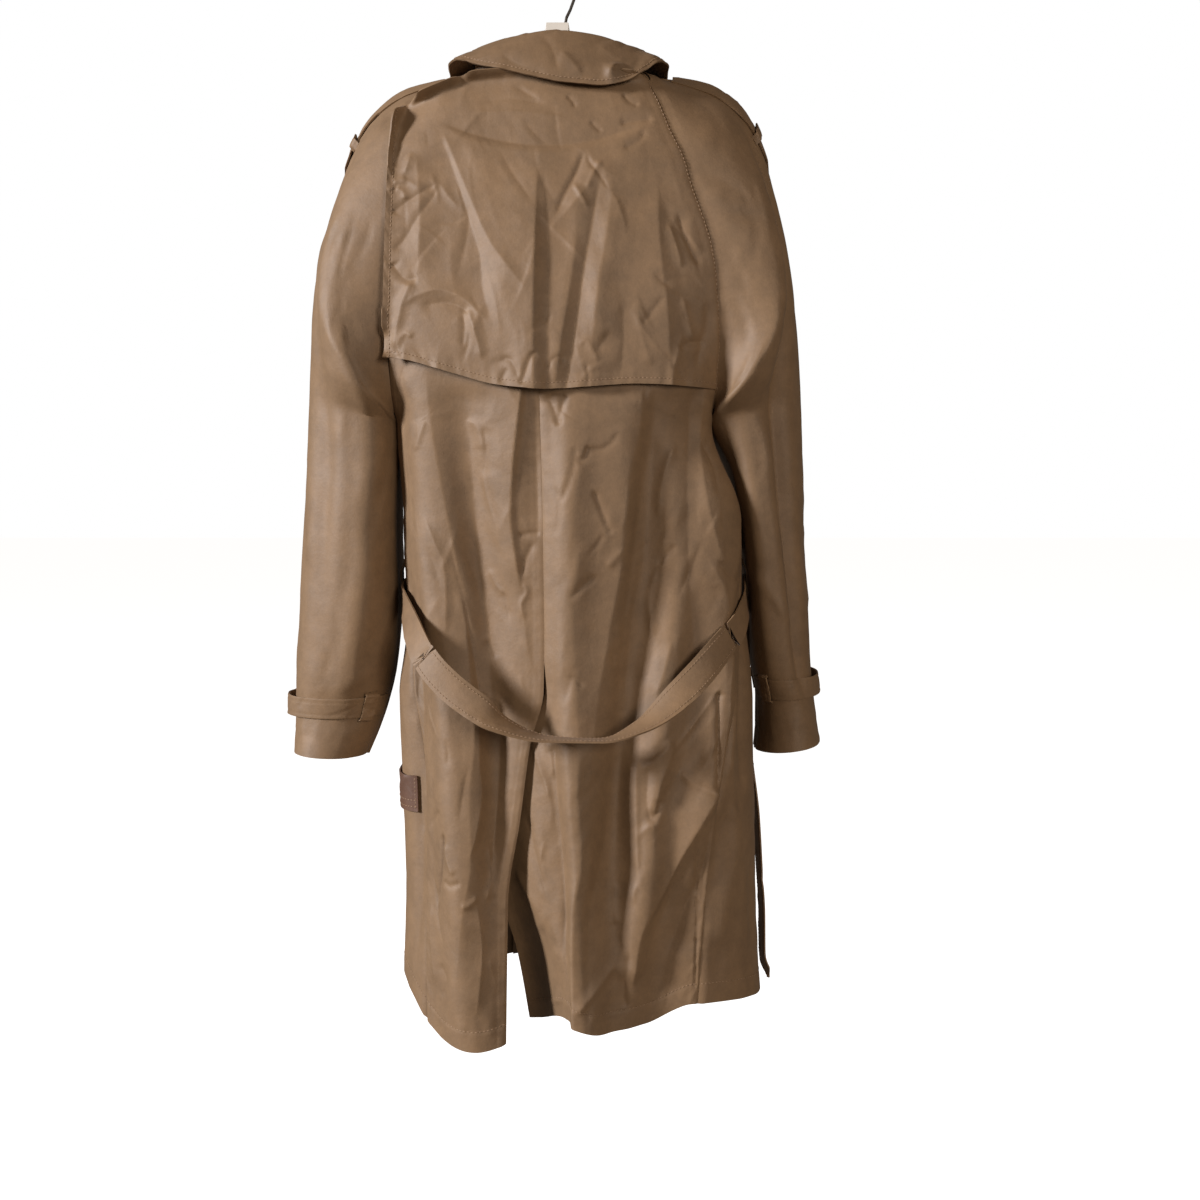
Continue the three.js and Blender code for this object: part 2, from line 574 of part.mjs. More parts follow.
// Furthest outer face along Y or Z (facing -1 or 1) at a point, and how squarely it faces that way.
function faceAt(sheets, point, axis, facing) {
  const over = axis === "y" ? "z" : "y";
  const margin = 0.02;
  let best = null;
  const test = (a, b, c) => {
    const area = (b.x - a.x) * (c[over] - a[over]) - (c.x - a.x) * (b[over] - a[over]);
    if (Math.abs(area) < TINY) return;
    const s = ((point.x - a.x) * (c[over] - a[over]) - (c.x - a.x) * (point[over] - a[over])) / area;
    const t = ((b.x - a.x) * (point[over] - a[over]) - (point.x - a.x) * (b[over] - a[over])) / area;
    if (s < -margin || t < -margin || s + t > 1 + margin) return;
    const value = a[axis] + s * (b[axis] - a[axis]) + t * (c[axis] - a[axis]);
    if (best !== null && value * facing <= best.value * facing) return;
    const slope = Math.abs(b.clone().sub(a).cross(c.clone().sub(a)).normalize()[axis]);
    best = { value, square: Math.max(slope, STEEP) };
  };
  for (const { points, rows, columns } of sheets) {
    for (let i = 0; i < rows; i++) {
      for (let j = 0; j < columns; j++) {
        test(points[i][j], points[i + 1][j], points[i + 1][j + 1]);
        test(points[i][j], points[i + 1][j + 1], points[i][j + 1]);
      }
    }
  }
  return best;
}

// Moves a point out of the garment by the shorter way, up or forwards and back.
function clearOf(sheets, point, clearance) {
  const facing = point.y < 0 ? -1 : 1;
  const above = faceAt(sheets, point, "z", 1);
  const beside = faceAt(sheets, point, "y", facing);
  if (!above || !beside) return point;
  const up = above.value + clearance / above.square - point.z;
  const away = beside.value * facing + clearance / beside.square - point.y * facing;
  if (up > 0 && away > 0) {
    if (up < away) point.z += up;
    else point.y += away * facing;
  }
  return point;
}

// The object

const group = new THREE.Group();
const looks = {
  cloth: new THREE.MeshStandardMaterial({ color: 0x8c7258, roughness: 0.5 }),
  dark: new THREE.MeshStandardMaterial({ color: 0x6f553f, roughness: 0.55 }),
  button: new THREE.MeshStandardMaterial({ color: 0x4c3828, roughness: 0.35 }),
  plastic: new THREE.MeshStandardMaterial({ color: 0xe8e6e0, roughness: 0.4 }),
  metal: new THREE.MeshStandardMaterial({ color: 0x6d6a66, roughness: 0.35, metalness: 0.9 }),
};

function addPiece(name, geometry, look) {
  const mesh = new THREE.Mesh(geometry, look);
  mesh.name = name;
  group.add(mesh);
}
const fromAxis = (point) => v3(point.x, point.y, 0);
const bothSides = [-1, 1];

// Body panels and sleeves
const BACK_COLUMNS = 12;
const FRONT_COLUMNS = 16;
const SLEEVE_COLUMNS = 6;
const panels = {};
for (const side of bothSides) {
  const name = sideName(side);
  const rows = TOP_STEPS + LOW_STEPS;
  const back = makeSheet(rows, BACK_COLUMNS, (i, u) => backPoint(side, i, u), fromAxis, "body");
  const front = makeSheet(rows, FRONT_COLUMNS, (i, u) => frontPoint(side, i, u), fromAxis, "body");
  back.underarm = [BACK_COLUMNS];
  front.underarm = [0];
  panels[`back_${name}`] = back;
  panels[`front_${name}`] = front;
  for (const [half, from] of [["back", 0], ["front", 0.5]]) {
    const sleeve = makeSheet(TOP_STEPS + ARM_STEPS, SLEEVE_COLUMNS,
      (i, u) => sleevePoint(side, sleeveRow(i), from + u / 2),
      (point) => point.clone().sub(sleevePoint(side, CUFF_ROW, half === "back" ? 0.75 : 0.25)), "sleeve");
    sleeve.underarm = [half === "back" ? 0 : SLEEVE_COLUMNS];
    panels[`sleeve_${name}_${half}`] = sleeve;
  }
}
sewTogether(Object.values(panels));
for (const [name, sheet] of Object.entries(panels)) addPiece(name, solidOf(sheet, CLOTH), looks.cloth);

// Cape
const behind = [panels.back_left, panels.back_right, panels.sleeve_left_back, panels.sleeve_right_back];
const CAPE_ROWS = 11;
const CAPE_COLUMNS = 22;
const CAPE_MIDDLE_Z = -300;
const cape = makeSheet(CAPE_ROWS, CAPE_COLUMNS, (i, u) => {
  const t = i / CAPE_ROWS;
  const leftX = (z) => read(CAPE_LEFT, "x", z);
  const rightX = (z) => bodyPoint(sideSeam(1, z), z).x - 1;
  const guess = mix(leftX(CAPE_MIDDLE_Z), rightX(CAPE_MIDDLE_Z), u);
  const start = mix(read(CAPE_TOP, "z", guess, "x"), read(CAPE_HEM, "z", guess, "x"), t);
  const x = mix(leftX(start), rightX(start), u);
  const z = mix(read(CAPE_TOP, "z", x, "x"), read(CAPE_HEM, "z", x, "x"), t);
  const free = mix(read(CAPE_LIFT, "left", z), read(CAPE_LIFT, "middle", z), smooth(u / CAPE_FREE));
  const lift = mix(free, CAPE_SEAM.lift, smooth((u - CAPE_SEAM.from) / (1 - CAPE_SEAM.from)));
  const under = faceAt(behind, v3(x, 0, z), "y", -1);
  return v3(x, under.value - lift / under.square - foldLift(CAPE_FOLDS, z, x), z);
}, () => v3(0, -1, 0));
for (let pass = 0; pass < CAPE_SMOOTHING; pass++) {
  const before = cape.points.map((line) => line.map((point) => point.y));
  for (let i = 0; i <= CAPE_ROWS; i++) {
    for (let j = 1; j < CAPE_COLUMNS; j++) {
      const level = (before[i][j - 1] + before[i][j + 1]) / 2;
      if (level < before[i][j]) cape.points[i][j].y = mix(before[i][j], level, 0.5);
    }
  }
}
cape.drops = cape.points.map((line, i) => line.map((_, j) => rawNormal(cape, i, j)));
addPiece("storm_flap", solidOf(cape, DOUBLE), looks.cloth);

// Collar

// The neck seam from the left front's end round the back to the right one's.
function neckLine() {
  const half = (side) => {
    const name = sideName(side);
    const line = [];
    for (const sheet of [`back_${name}`, `sleeve_${name}_back`, `sleeve_${name}_front`, `front_${name}`]) {
      for (const point of panels[sheet].points[0]) line.push(point.clone());
    }
    return line.filter((point) => !(point.y > 0 && point.x * side < COLLAR_END_X));
  };
  return new THREE.CatmullRomCurve3([...half(-1).reverse(), ...half(1)], false, "centripetal");
}
const neck = neckLine();
const COLLAR_STEPS = 26;
const COLLAR_FOOT = 0.5; // height of its lower edge over the neck seam
const FOLD_ANGLES = [150, 90, 30];
const FALL_SHARES = [0.25, 0.5, 0.75, 1];
const STAND_POINTS = 2;
const COLLAR_COLUMNS = STAND_POINTS + FOLD_ANGLES.length + FALL_SHARES.length - 1;
const underCollar = [...Object.values(panels), cape];
const collar = makeSheet(COLLAR_STEPS, COLLAR_COLUMNS, (i, w) => {
  const s = i / COLLAR_STEPS;
  const side = s < 0.5 ? -1 : 1;
  const part = Math.abs(s - 0.5) * 2;
  const shape = COLLAR[sideName(side)];
  const seam = neck.getPointAt(s);
  const along = neck.getTangentAt(s);
  const out = v3(along.y, -along.x, 0).normalize();
  const lean = read(COLLAR, "lean", part, "part");
  const stand = read(COLLAR, "stand", part, "part");
  const reach = curve(COLLAR.part, shape.out, part);
  const fall = curve(COLLAR.part, shape.down, part);
  const foldOut = COLLAR_FOLD - DOUBLE - lean;
  const foldUp = stand - COLLAR_FOLD;
  const profile = [[-DOUBLE, COLLAR_FOOT], [-DOUBLE - lean / 2, stand / 2]];
  for (const angle of FOLD_ANGLES.map((degrees) => degrees * RAD)) {
    profile.push([foldOut + COLLAR_FOLD * Math.cos(angle), foldUp + COLLAR_FOLD * Math.sin(angle)]);
  }
  const [startOut, startUp] = profile[profile.length - 1];
  for (const t of FALL_SHARES) {
    const bow = COLLAR_BOW * Math.sin(t * Math.PI);
    profile.push([mix(startOut, reach, t) + bow, mix(startUp, stand - fall, t)]);
  }
  const step = Math.round(w * COLLAR_COLUMNS);
  const place = seam.addScaledVector(out, profile[step][0]).add(v3(0, 0, profile[step][1]));
  return step >= STAND_POINTS + FOLD_ANGLES.length ? clearOf(underCollar, place, COLLAR_CLEAR) : place;
}, () => v3(0, 0, 1));
addPiece("collar", solidOf(collar, DOUBLE), looks.cloth);

// Epaulettes with their loops, cuff straps with theirs
for (const side of bothSides) {
  const name = sideName(side);
  const shift = EPAULETTE_SHIFT[name] / SLEEVE_ROUND;
  const near = 0.1;
  const across = (row, mm) => {
    const reach = sleeveBase(side, row, 0.5 - near).distanceTo(sleeveBase(side, row, 0.5));
    return 0.5 + shift + (mm * near) / reach;
  };
  const up = () => v3(0, 0, 1);
  const tipSteps = EPAULETTE.tip.length;
  const strap = makeSheet(EPAULETTE.steps + tipSteps, 4, (i, u) => {
    const past = i - EPAULETTE.steps;
    const row = past <= 0 ? mix(EPAULETTE.from, EPAULETTE.shoulder, i / EPAULETTE.steps)
      : mix(EPAULETTE.shoulder, EPAULETTE.to, past / tipSteps);
    const half = EPAULETTE.half * (past > 0 ? EPAULETTE.tip[past - 1] : 1);
    const above = past === tipSteps ? EPAULETTE.seated : EPAULETTE.above;
    return overSleeve(side, row, across(row, (u - 0.5) * 2 * half), CLOSE + above);
  }, up);
  addPiece(`epaulette_${name}`, solidOf(strap, DOUBLE), looks.cloth);
  const loop = makeSheet(2, 8, (i, u) => {
    const row = EPAULETTE_LOOP.row + (i - 1) * EPAULETTE_LOOP.span;
    const mm = (u - 0.5) * 2 * EPAULETTE_LOOP.half;
    const raised = smooth((EPAULETTE_LOOP.half - Math.abs(mm)) / EPAULETTE_LOOP.end);
    const stand = mix(EPAULETTE.seated, EPAULETTE.above + EPAULETTE_LOOP.above, raised);
    return overSleeve(side, row, across(row, mm), CLOSE + stand);
  }, up);
  addPiece(`epaulette_loop_${name}`, solidOf(loop, DOUBLE), looks.cloth);

  const strapRow = CUFF_STRAP[name];
  const axis = sleeveBase(side, strapRow, 0.5).add(sleeveBase(side, strapRow, 0)).divideScalar(2);
  const fromArm = (point) => point.clone().sub(axis);
  const band = makeSheet(CUFF_STRAP.steps, 2, (i, u) => {
    const v = mix(CUFF_STRAP.from, CUFF_STRAP.to, i / CUFF_STRAP.steps);
    const bulge = CUFF_STRAP.bulge * Math.exp(-(((v - 0.5) / CUFF_STRAP.bulgeSpan) ** 2));
    const row = strapRow + (u - 0.5) * 2 * CUFF_STRAP.span;
    return overSleeve(side, row, v, CLOSE + CUFF_STRAP.off + bulge);
  }, fromArm);
  addPiece(`cuff_strap_${name}`, solidOf(band, DOUBLE), looks.cloth);
  const keeper = makeSheet(CUFF_LOOP.down.length - 1, 4, (i, u) => {
    const row = strapRow + CUFF_LOOP.down[i];
    const lift = CLOSE + CUFF_LOOP.stand[i];
    return overSleeve(side, row, CUFF_LOOP.at + (u - 0.5) * 2 * CUFF_LOOP.half, lift);
  }, fromArm);
  addPiece(`cuff_loop_${name}`, solidOf(keeper, DOUBLE), looks.cloth);
}

// Belt and its loops
const belt = makeSheet(BELT_STEPS, 1, (i, u) => {
  const last = BELT.x.length - 1;
  const index = BELT.x.map((_, k) => k);
  const along = (k) => v3(curve(index, BELT.x, k), curve(index, BELT.y, k), curve(index, BELT.z, k));
  const k = (last * i) / BELT_STEPS;
  const centre = along(k);
  const after = along(Math.min(k + BELT_SLOPE_REACH, last));
  const ahead = after.sub(along(Math.max(k - BELT_SLOPE_REACH, 0))).normalize();
  const away = v3(centre.x - BELT_AXIS_X, centre.y, 0).normalize();
  const flat = ahead.clone().cross(away).normalize();
  if (flat.z * ahead.x < 0 && Math.abs(ahead.x) > 0.5) flat.negate();
  const face = flat.clone().cross(ahead).normalize();
  const tilt = curve(index, BELT.tilt, k) * RAD;
  const wide = flat.multiplyScalar(Math.cos(tilt)).addScaledVector(face, Math.sin(tilt));
  const fromEnd = Math.min(k, last - k) * BELT_ROW_LENGTH;
  const half = (BELT_WIDE / 2) * Math.max(BELT_TIP, Math.min(1, fromEnd / BELT_POINT));
  return centre.addScaledVector(wide, (u - 0.5) * 2 * half);
}, () => v3(0, -1, 0));
addPiece("belt", solidOf(belt, DOUBLE), looks.cloth);
for (const side of bothSides) {
  const loop = makeSheet(BELT_LOOP.steps, 2, (i, u) => {
    const z = mix(BELT_LOOP.high, BELT_LOOP.low, i / BELT_LOOP.steps);
    const raised = smooth(Math.min(i, BELT_LOOP.steps - i) / BELT_LOOP.rise);
    const deg = side * BELT_LOOP.at + ((u - 0.5) * 2 * BELT_LOOP.half) / BELT_LOOP.round / RAD;
    return bodyPoint(deg, z, mix(CLOSE, BELT_LOOP.stand, raised));
  }, fromAxis);
  addPiece(`belt_loop_${sideName(side)}`, solidOf(loop, DOUBLE), looks.cloth);
}

// Pocket flaps, lapels and buttons
const inFront = ["front_left", "front_right"].map((name) => panels[name]);
function onFront(x, z, lift, reach = 0) {
  const faces = [x - reach, x, x + reach].map((at) => faceAt(inFront, v3(at, 0, z), "y", 1));
  return v3(x, Math.max(...faces.map((face) => (face ? face.value + lift / face.square : 0))), z);
}
for (const side of bothSides) {
  const flap = makeSheet(POCKET.rows, POCKET.columns, (i, u) => {
    const deg = side * (POCKET.from[sideName(side)] + u * POCKET.span);
    const z = mix(POCKET.top, POCKET.low, i / POCKET.rows);
    return bodyPoint(deg, z, mix(POCKET.lift, POCKET.rest[sideName(side)], smooth(u * 2)));
  }, fromAxis);
  addPiece(`pocket_flap_${sideName(side)}`, solidOf(flap, DOUBLE), looks.dark);
  const lapel = makeSheet(LAPEL.rows, LAPEL.columns, (i, u) => {
    const t = i / LAPEL.rows;
    const x = side * (LAPEL.innerX + u * mix(LAPEL.wide, LAPEL.point, t));
    const z = mix(mix(LAPEL.topIn, LAPEL.topOut, u), LAPEL.tip, t);
    return onFront(x, z, LAPEL.lift, LAPEL.reach);
  }, () => v3(0, 1, 0));
  addPiece(`lapel_${sideName(side)}`, solidOf(lapel, DOUBLE), looks.cloth);
}

// A button that faces forwards, on the furthest place of the front under it.
function button(x, z) {
  const { radius, thick, round, rim, slope, well, sides, seats } = BUTTON;
  const outline = [[0, 0], [radius - round, 0], [radius, round], [radius, thick - round],
    [radius - round, thick], [radius - rim, thick], [radius - rim - slope, thick - well], [0, thick - well]];
  const disc = new THREE.LatheGeometry(outline.map(([r, y]) => new THREE.Vector2(r, y)), sides);
  let seat = onFront(x, z, 0).y;
  for (let k = 0; k < seats; k++) {
    const a = (k * 2 * Math.PI) / seats;
    seat = Math.max(seat, onFront(x + radius * Math.cos(a), z + radius * Math.sin(a), 0).y);
  }
  return disc.translate(x, seat + SEAM, z);
}
BUTTON.columns.flatMap((x) => BUTTON.rows.map((z) => [x, z])).forEach(([x, z], k) => {
  addPiece(`button_${k + 1}`, button(x, z), looks.button);
});

// Hanger with its hook
const SECTION_SIDES = 8;
const HALF_TURN = 180 / SECTION_SIDES;
const OCTAGON = Array.from({ length: SECTION_SIDES }, (_, k) => (2 * k + 1) * HALF_TURN);

// The closed solid through a row of sections with as many points each.
function loft(sections) {
  const positions = [];
  const faces = [];
  const ring = sections[0].length;
  for (const section of sections) for (const point of section) positions.push(point.x, point.y, point.z);
  for (let s = 0; s + 1 < sections.length; s++) {
    for (let k = 0; k < ring; k++) {
      const a = s * ring + k;
      const b = s * ring + ((k + 1) % ring);
      faces.push(a, b, b + ring, a, b + ring, a + ring);
    }
  }
  const end = (sections.length - 1) * ring;
  for (let k = 1; k + 1 < ring; k++) {
    faces.push(0, k + 1, k);
    faces.push(end, end + k, end + k + 1);
  }
  const geometry = new THREE.BufferGeometry();
  geometry.setAttribute("position", new THREE.Float32BufferAttribute(positions, 3));
  geometry.setIndex(faces);
  geometry.computeVertexNormals();
  return geometry;
}

function armSection(x, z, tall, deep) {
  const stretch = 1 / Math.cos(HALF_TURN * RAD);
  return OCTAGON.map((angle) =>
    v3(x, stretch * Math.cos(angle * RAD) * deep, z + stretch * Math.sin(angle * RAD) * tall));
}

// Sections of one arm, under the shoulder's ridge.
function armSections(side) {
  const ridge = panels[`sleeve_${sideName(side)}_back`].points;
  return HANGER.armTall.map((tall, k) => {
    const seam = ridge[k + 1][SLEEVE_COLUMNS];
    const outer = ridge[k + 2][SLEEVE_COLUMNS];
    const steep = Math.hypot(1, (outer.z - seam.z) / (outer.x - seam.x));
    return armSection(seam.x, seam.z - HANGER.under * steep - tall, tall, HANGER.armDeep[k]);
  });
}
const { blockX, blockZ, blockTall, blockDeep } = HANGER;
const block = blockX.map((x, k) => armSection(x, blockZ[k], blockTall[k], blockDeep[k]));
addPiece("hanger", loft([...armSections(-1).reverse(), ...block, ...armSections(1)]), looks.plastic);

const wireLine = [];
for (let angle = HOOK.from; angle >= HOOK.to; angle -= HOOK.turn) {
  const a = angle * RAD;
  wireLine.push(v3(HOOK.radius * Math.cos(a), 0, HOOK.centreZ + HOOK.radius * Math.sin(a)));
}
for (const [x, z] of HOOK.foot) wireLine.push(v3(x, 0, z));
const wireSections = wireLine.map((centre, k) => {
  const ahead = wireLine[Math.min(k + 1, wireLine.length - 1)].clone()
    .sub(wireLine[Math.max(k - 1, 0)]).normalize();
  const sideways = v3(-ahead.z, 0, ahead.x);
  return OCTAGON.map((angle) =>
    centre.clone().addScaledVector(sideways, HOOK.wire * Math.cos(angle * RAD))
      .add(v3(0, -HOOK.wire * Math.sin(angle * RAD), 0)));
});
addPiece("hook", loft(wireSections), looks.metal);

export default group;
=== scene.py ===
"""A trench coat of thin brown rainwear cloth on a hanger, seen from behind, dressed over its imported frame.

Shapes are worked out in millimetres: X to the wearer's right, Y to the coat's front, Z up, from the
inside top of the hook. Meshes are made in metres. Creases that the photograph shows are listed by
their place in its 1200 x 1200 frame and laid on the cloth through the camera.
"""

import math

import bpy
import numpy as np
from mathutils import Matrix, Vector
from mathutils.bvhtree import BVHTree


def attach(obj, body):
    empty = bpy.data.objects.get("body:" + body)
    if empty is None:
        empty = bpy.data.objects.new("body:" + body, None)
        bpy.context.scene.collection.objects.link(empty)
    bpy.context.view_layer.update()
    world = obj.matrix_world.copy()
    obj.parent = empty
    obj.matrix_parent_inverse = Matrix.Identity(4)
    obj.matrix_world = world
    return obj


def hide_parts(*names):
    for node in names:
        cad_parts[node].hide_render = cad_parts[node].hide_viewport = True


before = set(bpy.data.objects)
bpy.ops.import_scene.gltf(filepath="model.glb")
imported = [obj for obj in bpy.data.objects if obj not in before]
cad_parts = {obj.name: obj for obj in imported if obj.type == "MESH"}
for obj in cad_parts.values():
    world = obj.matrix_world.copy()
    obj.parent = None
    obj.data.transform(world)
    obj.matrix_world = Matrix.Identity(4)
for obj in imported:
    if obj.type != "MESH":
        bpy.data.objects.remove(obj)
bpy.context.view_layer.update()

MM = 0.001
SIDES = (("left", -1), ("right", 1))

# Camera and the photograph's frame
PHOTO = 1200.0
LENS_PX = 1389.0
CAMERA_AT = np.array([43.0, -1500.0, -560.0])
CAMERA_PITCH = math.radians(5.0)

# Cloth
WALL = 1.0  # a body panel with its turned edges
DOUBLE_WALL = 1.6  # two layers sewn together
UNDERARM_Z = -505.0
HEM_REF = -1150.0
NECK_Z = -143.0
NECK_FRONT_DROP = 55.0
FRONT_OVERLAP = 60.0
OVERLAP_LIFT = 3.4
UNDERARM_ROW = 8.0
CUFF_ROW = 14.0
TOP_STEPS = 12.0
LOW_STEPS = 18.0

# The body all round, by height: middle, half width and half depths
BODY_FLAT = {"back": 0.6, "front": 1.0}  # 1 is half an ellipse, less hangs flatter across
BODY = {
    "z": [-143, -165, -207, -251, -300, -339, -400, -464, -505, -600, -700, -800, -900, -1000, -1150],
    "midX": [0, -1, -2, -3, -4, -4, -5, -5, -5, 14, 16, 17, 19, 22, 24],
    "wide": [92, 150, 205, 228, 226, 218, 205, 182, 166, 178, 180, 190, 190, 191, 194],
    "back": [50, 61, 71, 81, 90, 96, 103, 107, 108, 108, 106, 110, 114, 118, 122],
    "front": [50, 59, 67, 76, 84, 89, 96, 102, 104, 100, 98, 102, 106, 110, 114],
}

# Raglan seam from neck to underarm, then side seam to the hem, in degrees from centre back
SIDE_SEAM = {
    "z": [-143, -165, -207, -251, -296, -339, -378, -418, -464, -490, -505, -600, -700, -850, -1000, -1150],
    "left": [66, 39.5, 34, 36, 41.5, 48, 52.5, 58, 67, 78, 90, 86, 76, 62, 58, 56],
    "right": [66, 39.5, 34, 36, 41.5, 48, 52.5, 58, 67, 78, 90, 84, 72, 52, 43, 37],
}

# Centre back seam, then the vent: its left edge, and the right panel turned in under it
CENTRE_SEAM = {
    "z": [-143, -471, -700, -773, -834, -912, -995, -1150],
    "x": [-18, -18, -16, -17, -31, -41, -51, -51],
}
VENT = {
    "z": [-745, -775, -810, -850, -912, -995, -1060, -1150],
    "under": [0, -1, 4, 14, 20, 10, -6, -20],
    "depth": [0, 4, 7, 11, 22, 36, 50, 66],
    "width": [30, 34, 38, 40, 44, 48, 52, 58],
}
HEM = {
    "deg": [-180, -120, -95, -70, -45, -32, -20, -10, 5, 18, 35, 60, 90, 120, 180],
    "z": [-1122, -1116, -1088, -1102, -1138, -1142, -1134, -1112, -1124, -1122, -1102, -1106, -1114, -1118, -1122],
}

# Main folds of the body, on the back (face 1) or the front (face -1)
BODY_FOLDS = [
    {"face": 1, "z": [-430, -560, -700, -800, -900, -1150], "x": [-150, -142, -130, -114, -106, -84],
     "rise": [0, 8, 12, 15, 18, 24], "half": [18, 18, 20, 22, 26, 34]},
    {"face": 1, "z": [-640, -760, -880, -980, -1080], "x": [-160, -152, -150, -150, -152],
     "rise": [0, -9, -14, -10, 0], "half": [14, 14, 14, 14, 14]},
    {"face": 1, "z": [-440, -520, -650, -800, -950], "x": [-110, -98, -80, -66, -60],
     "rise": [0, -8, -11, -9, 0], "half": [20, 22, 22, 20, 18]},
    {"face": 1, "z": [-430, -560, -700, -850, -1000, -1150], "x": [8, 8, 8, 12, 20, 24],
     "rise": [0, 8, 11, 14, 18, 24], "half": [20, 22, 26, 28, 30, 36]},
    {"face": 1, "z": [-470, -560, -660, -780, -880, -1060], "x": [88, 94, 94, 76, 60, 56],
     "rise": [0, -8, -9, -10, -11, -4], "half": [18, 18, 18, 16, 15, 15]},
    {"face": 1, "z": [-600, -780, -900, -1000, -1140], "x": [134, 112, 96, 90, 84],
     "rise": [0, 7, 8, 6, 0], "half": [16, 16, 16, 16, 16]},
    {"face": 1, "z": [-720, -820, -900, -1000], "x": [178, 176, 150, 120],
     "rise": [0, 8, 8, 0], "half": [18, 20, 22, 20]},
    {"face": 1, "z": [-900, -1000, -1150], "x": [130, 112, 100],
     "rise": [0, -8, -12], "half": [18, 20, 26]},
    {"face": -1, "z": [-520, -700, -900, -1150], "x": [-146, -140, -132, -126],
     "rise": [0, 6, 10, 16], "half": [22, 22, 26, 30]},
    {"face": -1, "z": [-420, -700, -900, -1150], "x": [-106, -100, -92, -86],
     "rise": [0, -7, -10, -12], "half": [18, 18, 20, 24]},
    {"face": -1, "z": [-520, -700, -900, -1150], "x": [152, 150, 146, 140],
     "rise": [0, 6, 10, 14], "half": [20, 20, 24, 28]},
    {"face": -1, "z": [-420, -700, -900, -1150], "x": [112, 108, 106, 102],
     "rise": [0, -7, -11, -14], "half": [18, 18, 20, 24]},
    {"face": -1, "z": [-700, -850, -1150], "x": [10, 8, 4],
     "rise": [0, 5, 14], "half": [26, 32, 44]},
]

# Raglan sleeves, by row from neck (0) over the underarm (8) to the cuff (14)
ROW = list(range(15))
SEAM_HEIGHT = {"row": [0, 1, 2, 3, 4, 5, 6, 7, 8], "z": [-143, -170, -212, -262, -318, -378, -434, -482, -505]}
SLEEVE_DIP = {"row": ROW, "deg": [0, 32, 38, 36, 28, 16, 8, 2, 0, 0, 0, 0, 0, 0, 0]}
SLEEVES = {
    "left": {
        "row": ROW,
        "topX": [-86, -122, -159, -196, -218, -235, -249, -260, -266, -271, -276, -281, -286, -288, -291],
        "topY": [0, 0, 0, 0, 0, 0, 2, 4, 5, 6, 7, 8, 8, 8, 8],
        "topZ": [-142, -147, -157, -185, -223, -275, -330, -400, -480, -560, -630, -700, -765, -815, -855],
        "leave": [0, -4, -6, -4, 0, 10, 30, 68, 98, 106, 106, 100, 94, 90, 90],
        "seamArm": [4, 12, 26, 42, 58, 70, 80, 88, 92, 92, 90, 86, 78, 66, 70],
        "topArm": [7, 24, 34, 42, 50, 60, 72, 84, 92, 92, 90, 86, 78, 66, 70],
    },
    "right": {
        "row": ROW,
        "topX": [86, 122, 156, 190, 211, 227, 240, 251, 258, 262, 265, 270, 274, 280, 286],
        "topY": [0, 0, 0, 0, 0, 2, 6, 12, 18, 22, 26, 30, 34, 36, 36],
        "topZ": [-142, -145, -152, -175, -212, -268, -330, -400, -480, -560, -630, -700, -765, -810, -848],
        "leave": [0, -4, -6, -4, 0, 10, 30, 70, 104, 112, 106, 100, 96, 92, 90],
        "seamArm": [4, 12, 26, 42, 58, 70, 82, 92, 98, 100, 100, 96, 90, 82, 86],
        "topArm": [7, 24, 34, 42, 50, 60, 74, 88, 98, 100, 100, 96, 90, 82, 86],
    },
}
UNDERARM_SEAM = {
    "row": [8, 9, 10, 11, 12, 12.7, 13.4, 14],
    "z": [-505, -560, -630, -700, -765, -800, -832, -860],
    "left": {"x": [-171, -176, -178, -177, -181, -189, -200, -212], "y": [0, 2, 4, 6, 8, 8, 8, 8]},
    "right": {"x": [161, 194, 204, 208, 214, 219, 219, 217], "y": [0, 10, 18, 26, 32, 34, 36, 36]},
}
SLEEVE_ROUND = 360.0
SLEEVE_FOLDS = {
    "left": [
        {"row": [3.5, 6, 9, 12], "around": [0.38, 0.36, 0.34, 0.33], "rise": [0, -5, -6, 0], "half": [14] * 4},
        {"row": [7, 9, 11, 13], "around": [0.18, 0.19, 0.2, 0.22], "rise": [0, 6, 6, 0], "half": [14] * 4},
        {"row": [5, 8, 11, 14], "around": [0.72, 0.72, 0.74, 0.74], "rise": [0, -7, -6, -3], "half": [16] * 4},
    ],
    "right": [
        {"row": [3, 5, 8, 11, 13], "around": [0.36, 0.35, 0.33, 0.33, 0.34], "rise": [0, -11, -14, -12, 0],
         "half": [13] * 5},
        {"row": [8, 9.5, 11, 12.5], "around": [0.19, 0.19, 0.18, 0.18], "rise": [0, 6, 5, 0], "half": [13] * 4},
        {"row": [5, 8, 11, 14], "around": [0.72, 0.72, 0.74, 0.74], "rise": [0, -8, -7, -3], "half": [16] * 4},
    ],
}

# Cape: free left edge, top and lower edges
CAPE_LEFT = {"z": [-160, -204, -278, -378, -440], "x": [-150, -165, -171, -174, -175]}
CAPE_TOP = {"x": [-160, -128, -100, -80, 0, 80, 90], "z": [-182, -168, -158, -153, -150, -153, -157]}
CAPE_LAP = 0.4  # degrees that its sewn edge laps over the right sleeve's seam
CAPE_SEATED = 0.7
CAPE_SEAM_REACH = 16.0
CAPE_HEM = {
    "x": [-178, -154, -105, -56, -16, 23, 82, 142, 165],
    "z": [-437, -441, -455, -468, -472, -470, -466, -468, -470],
}

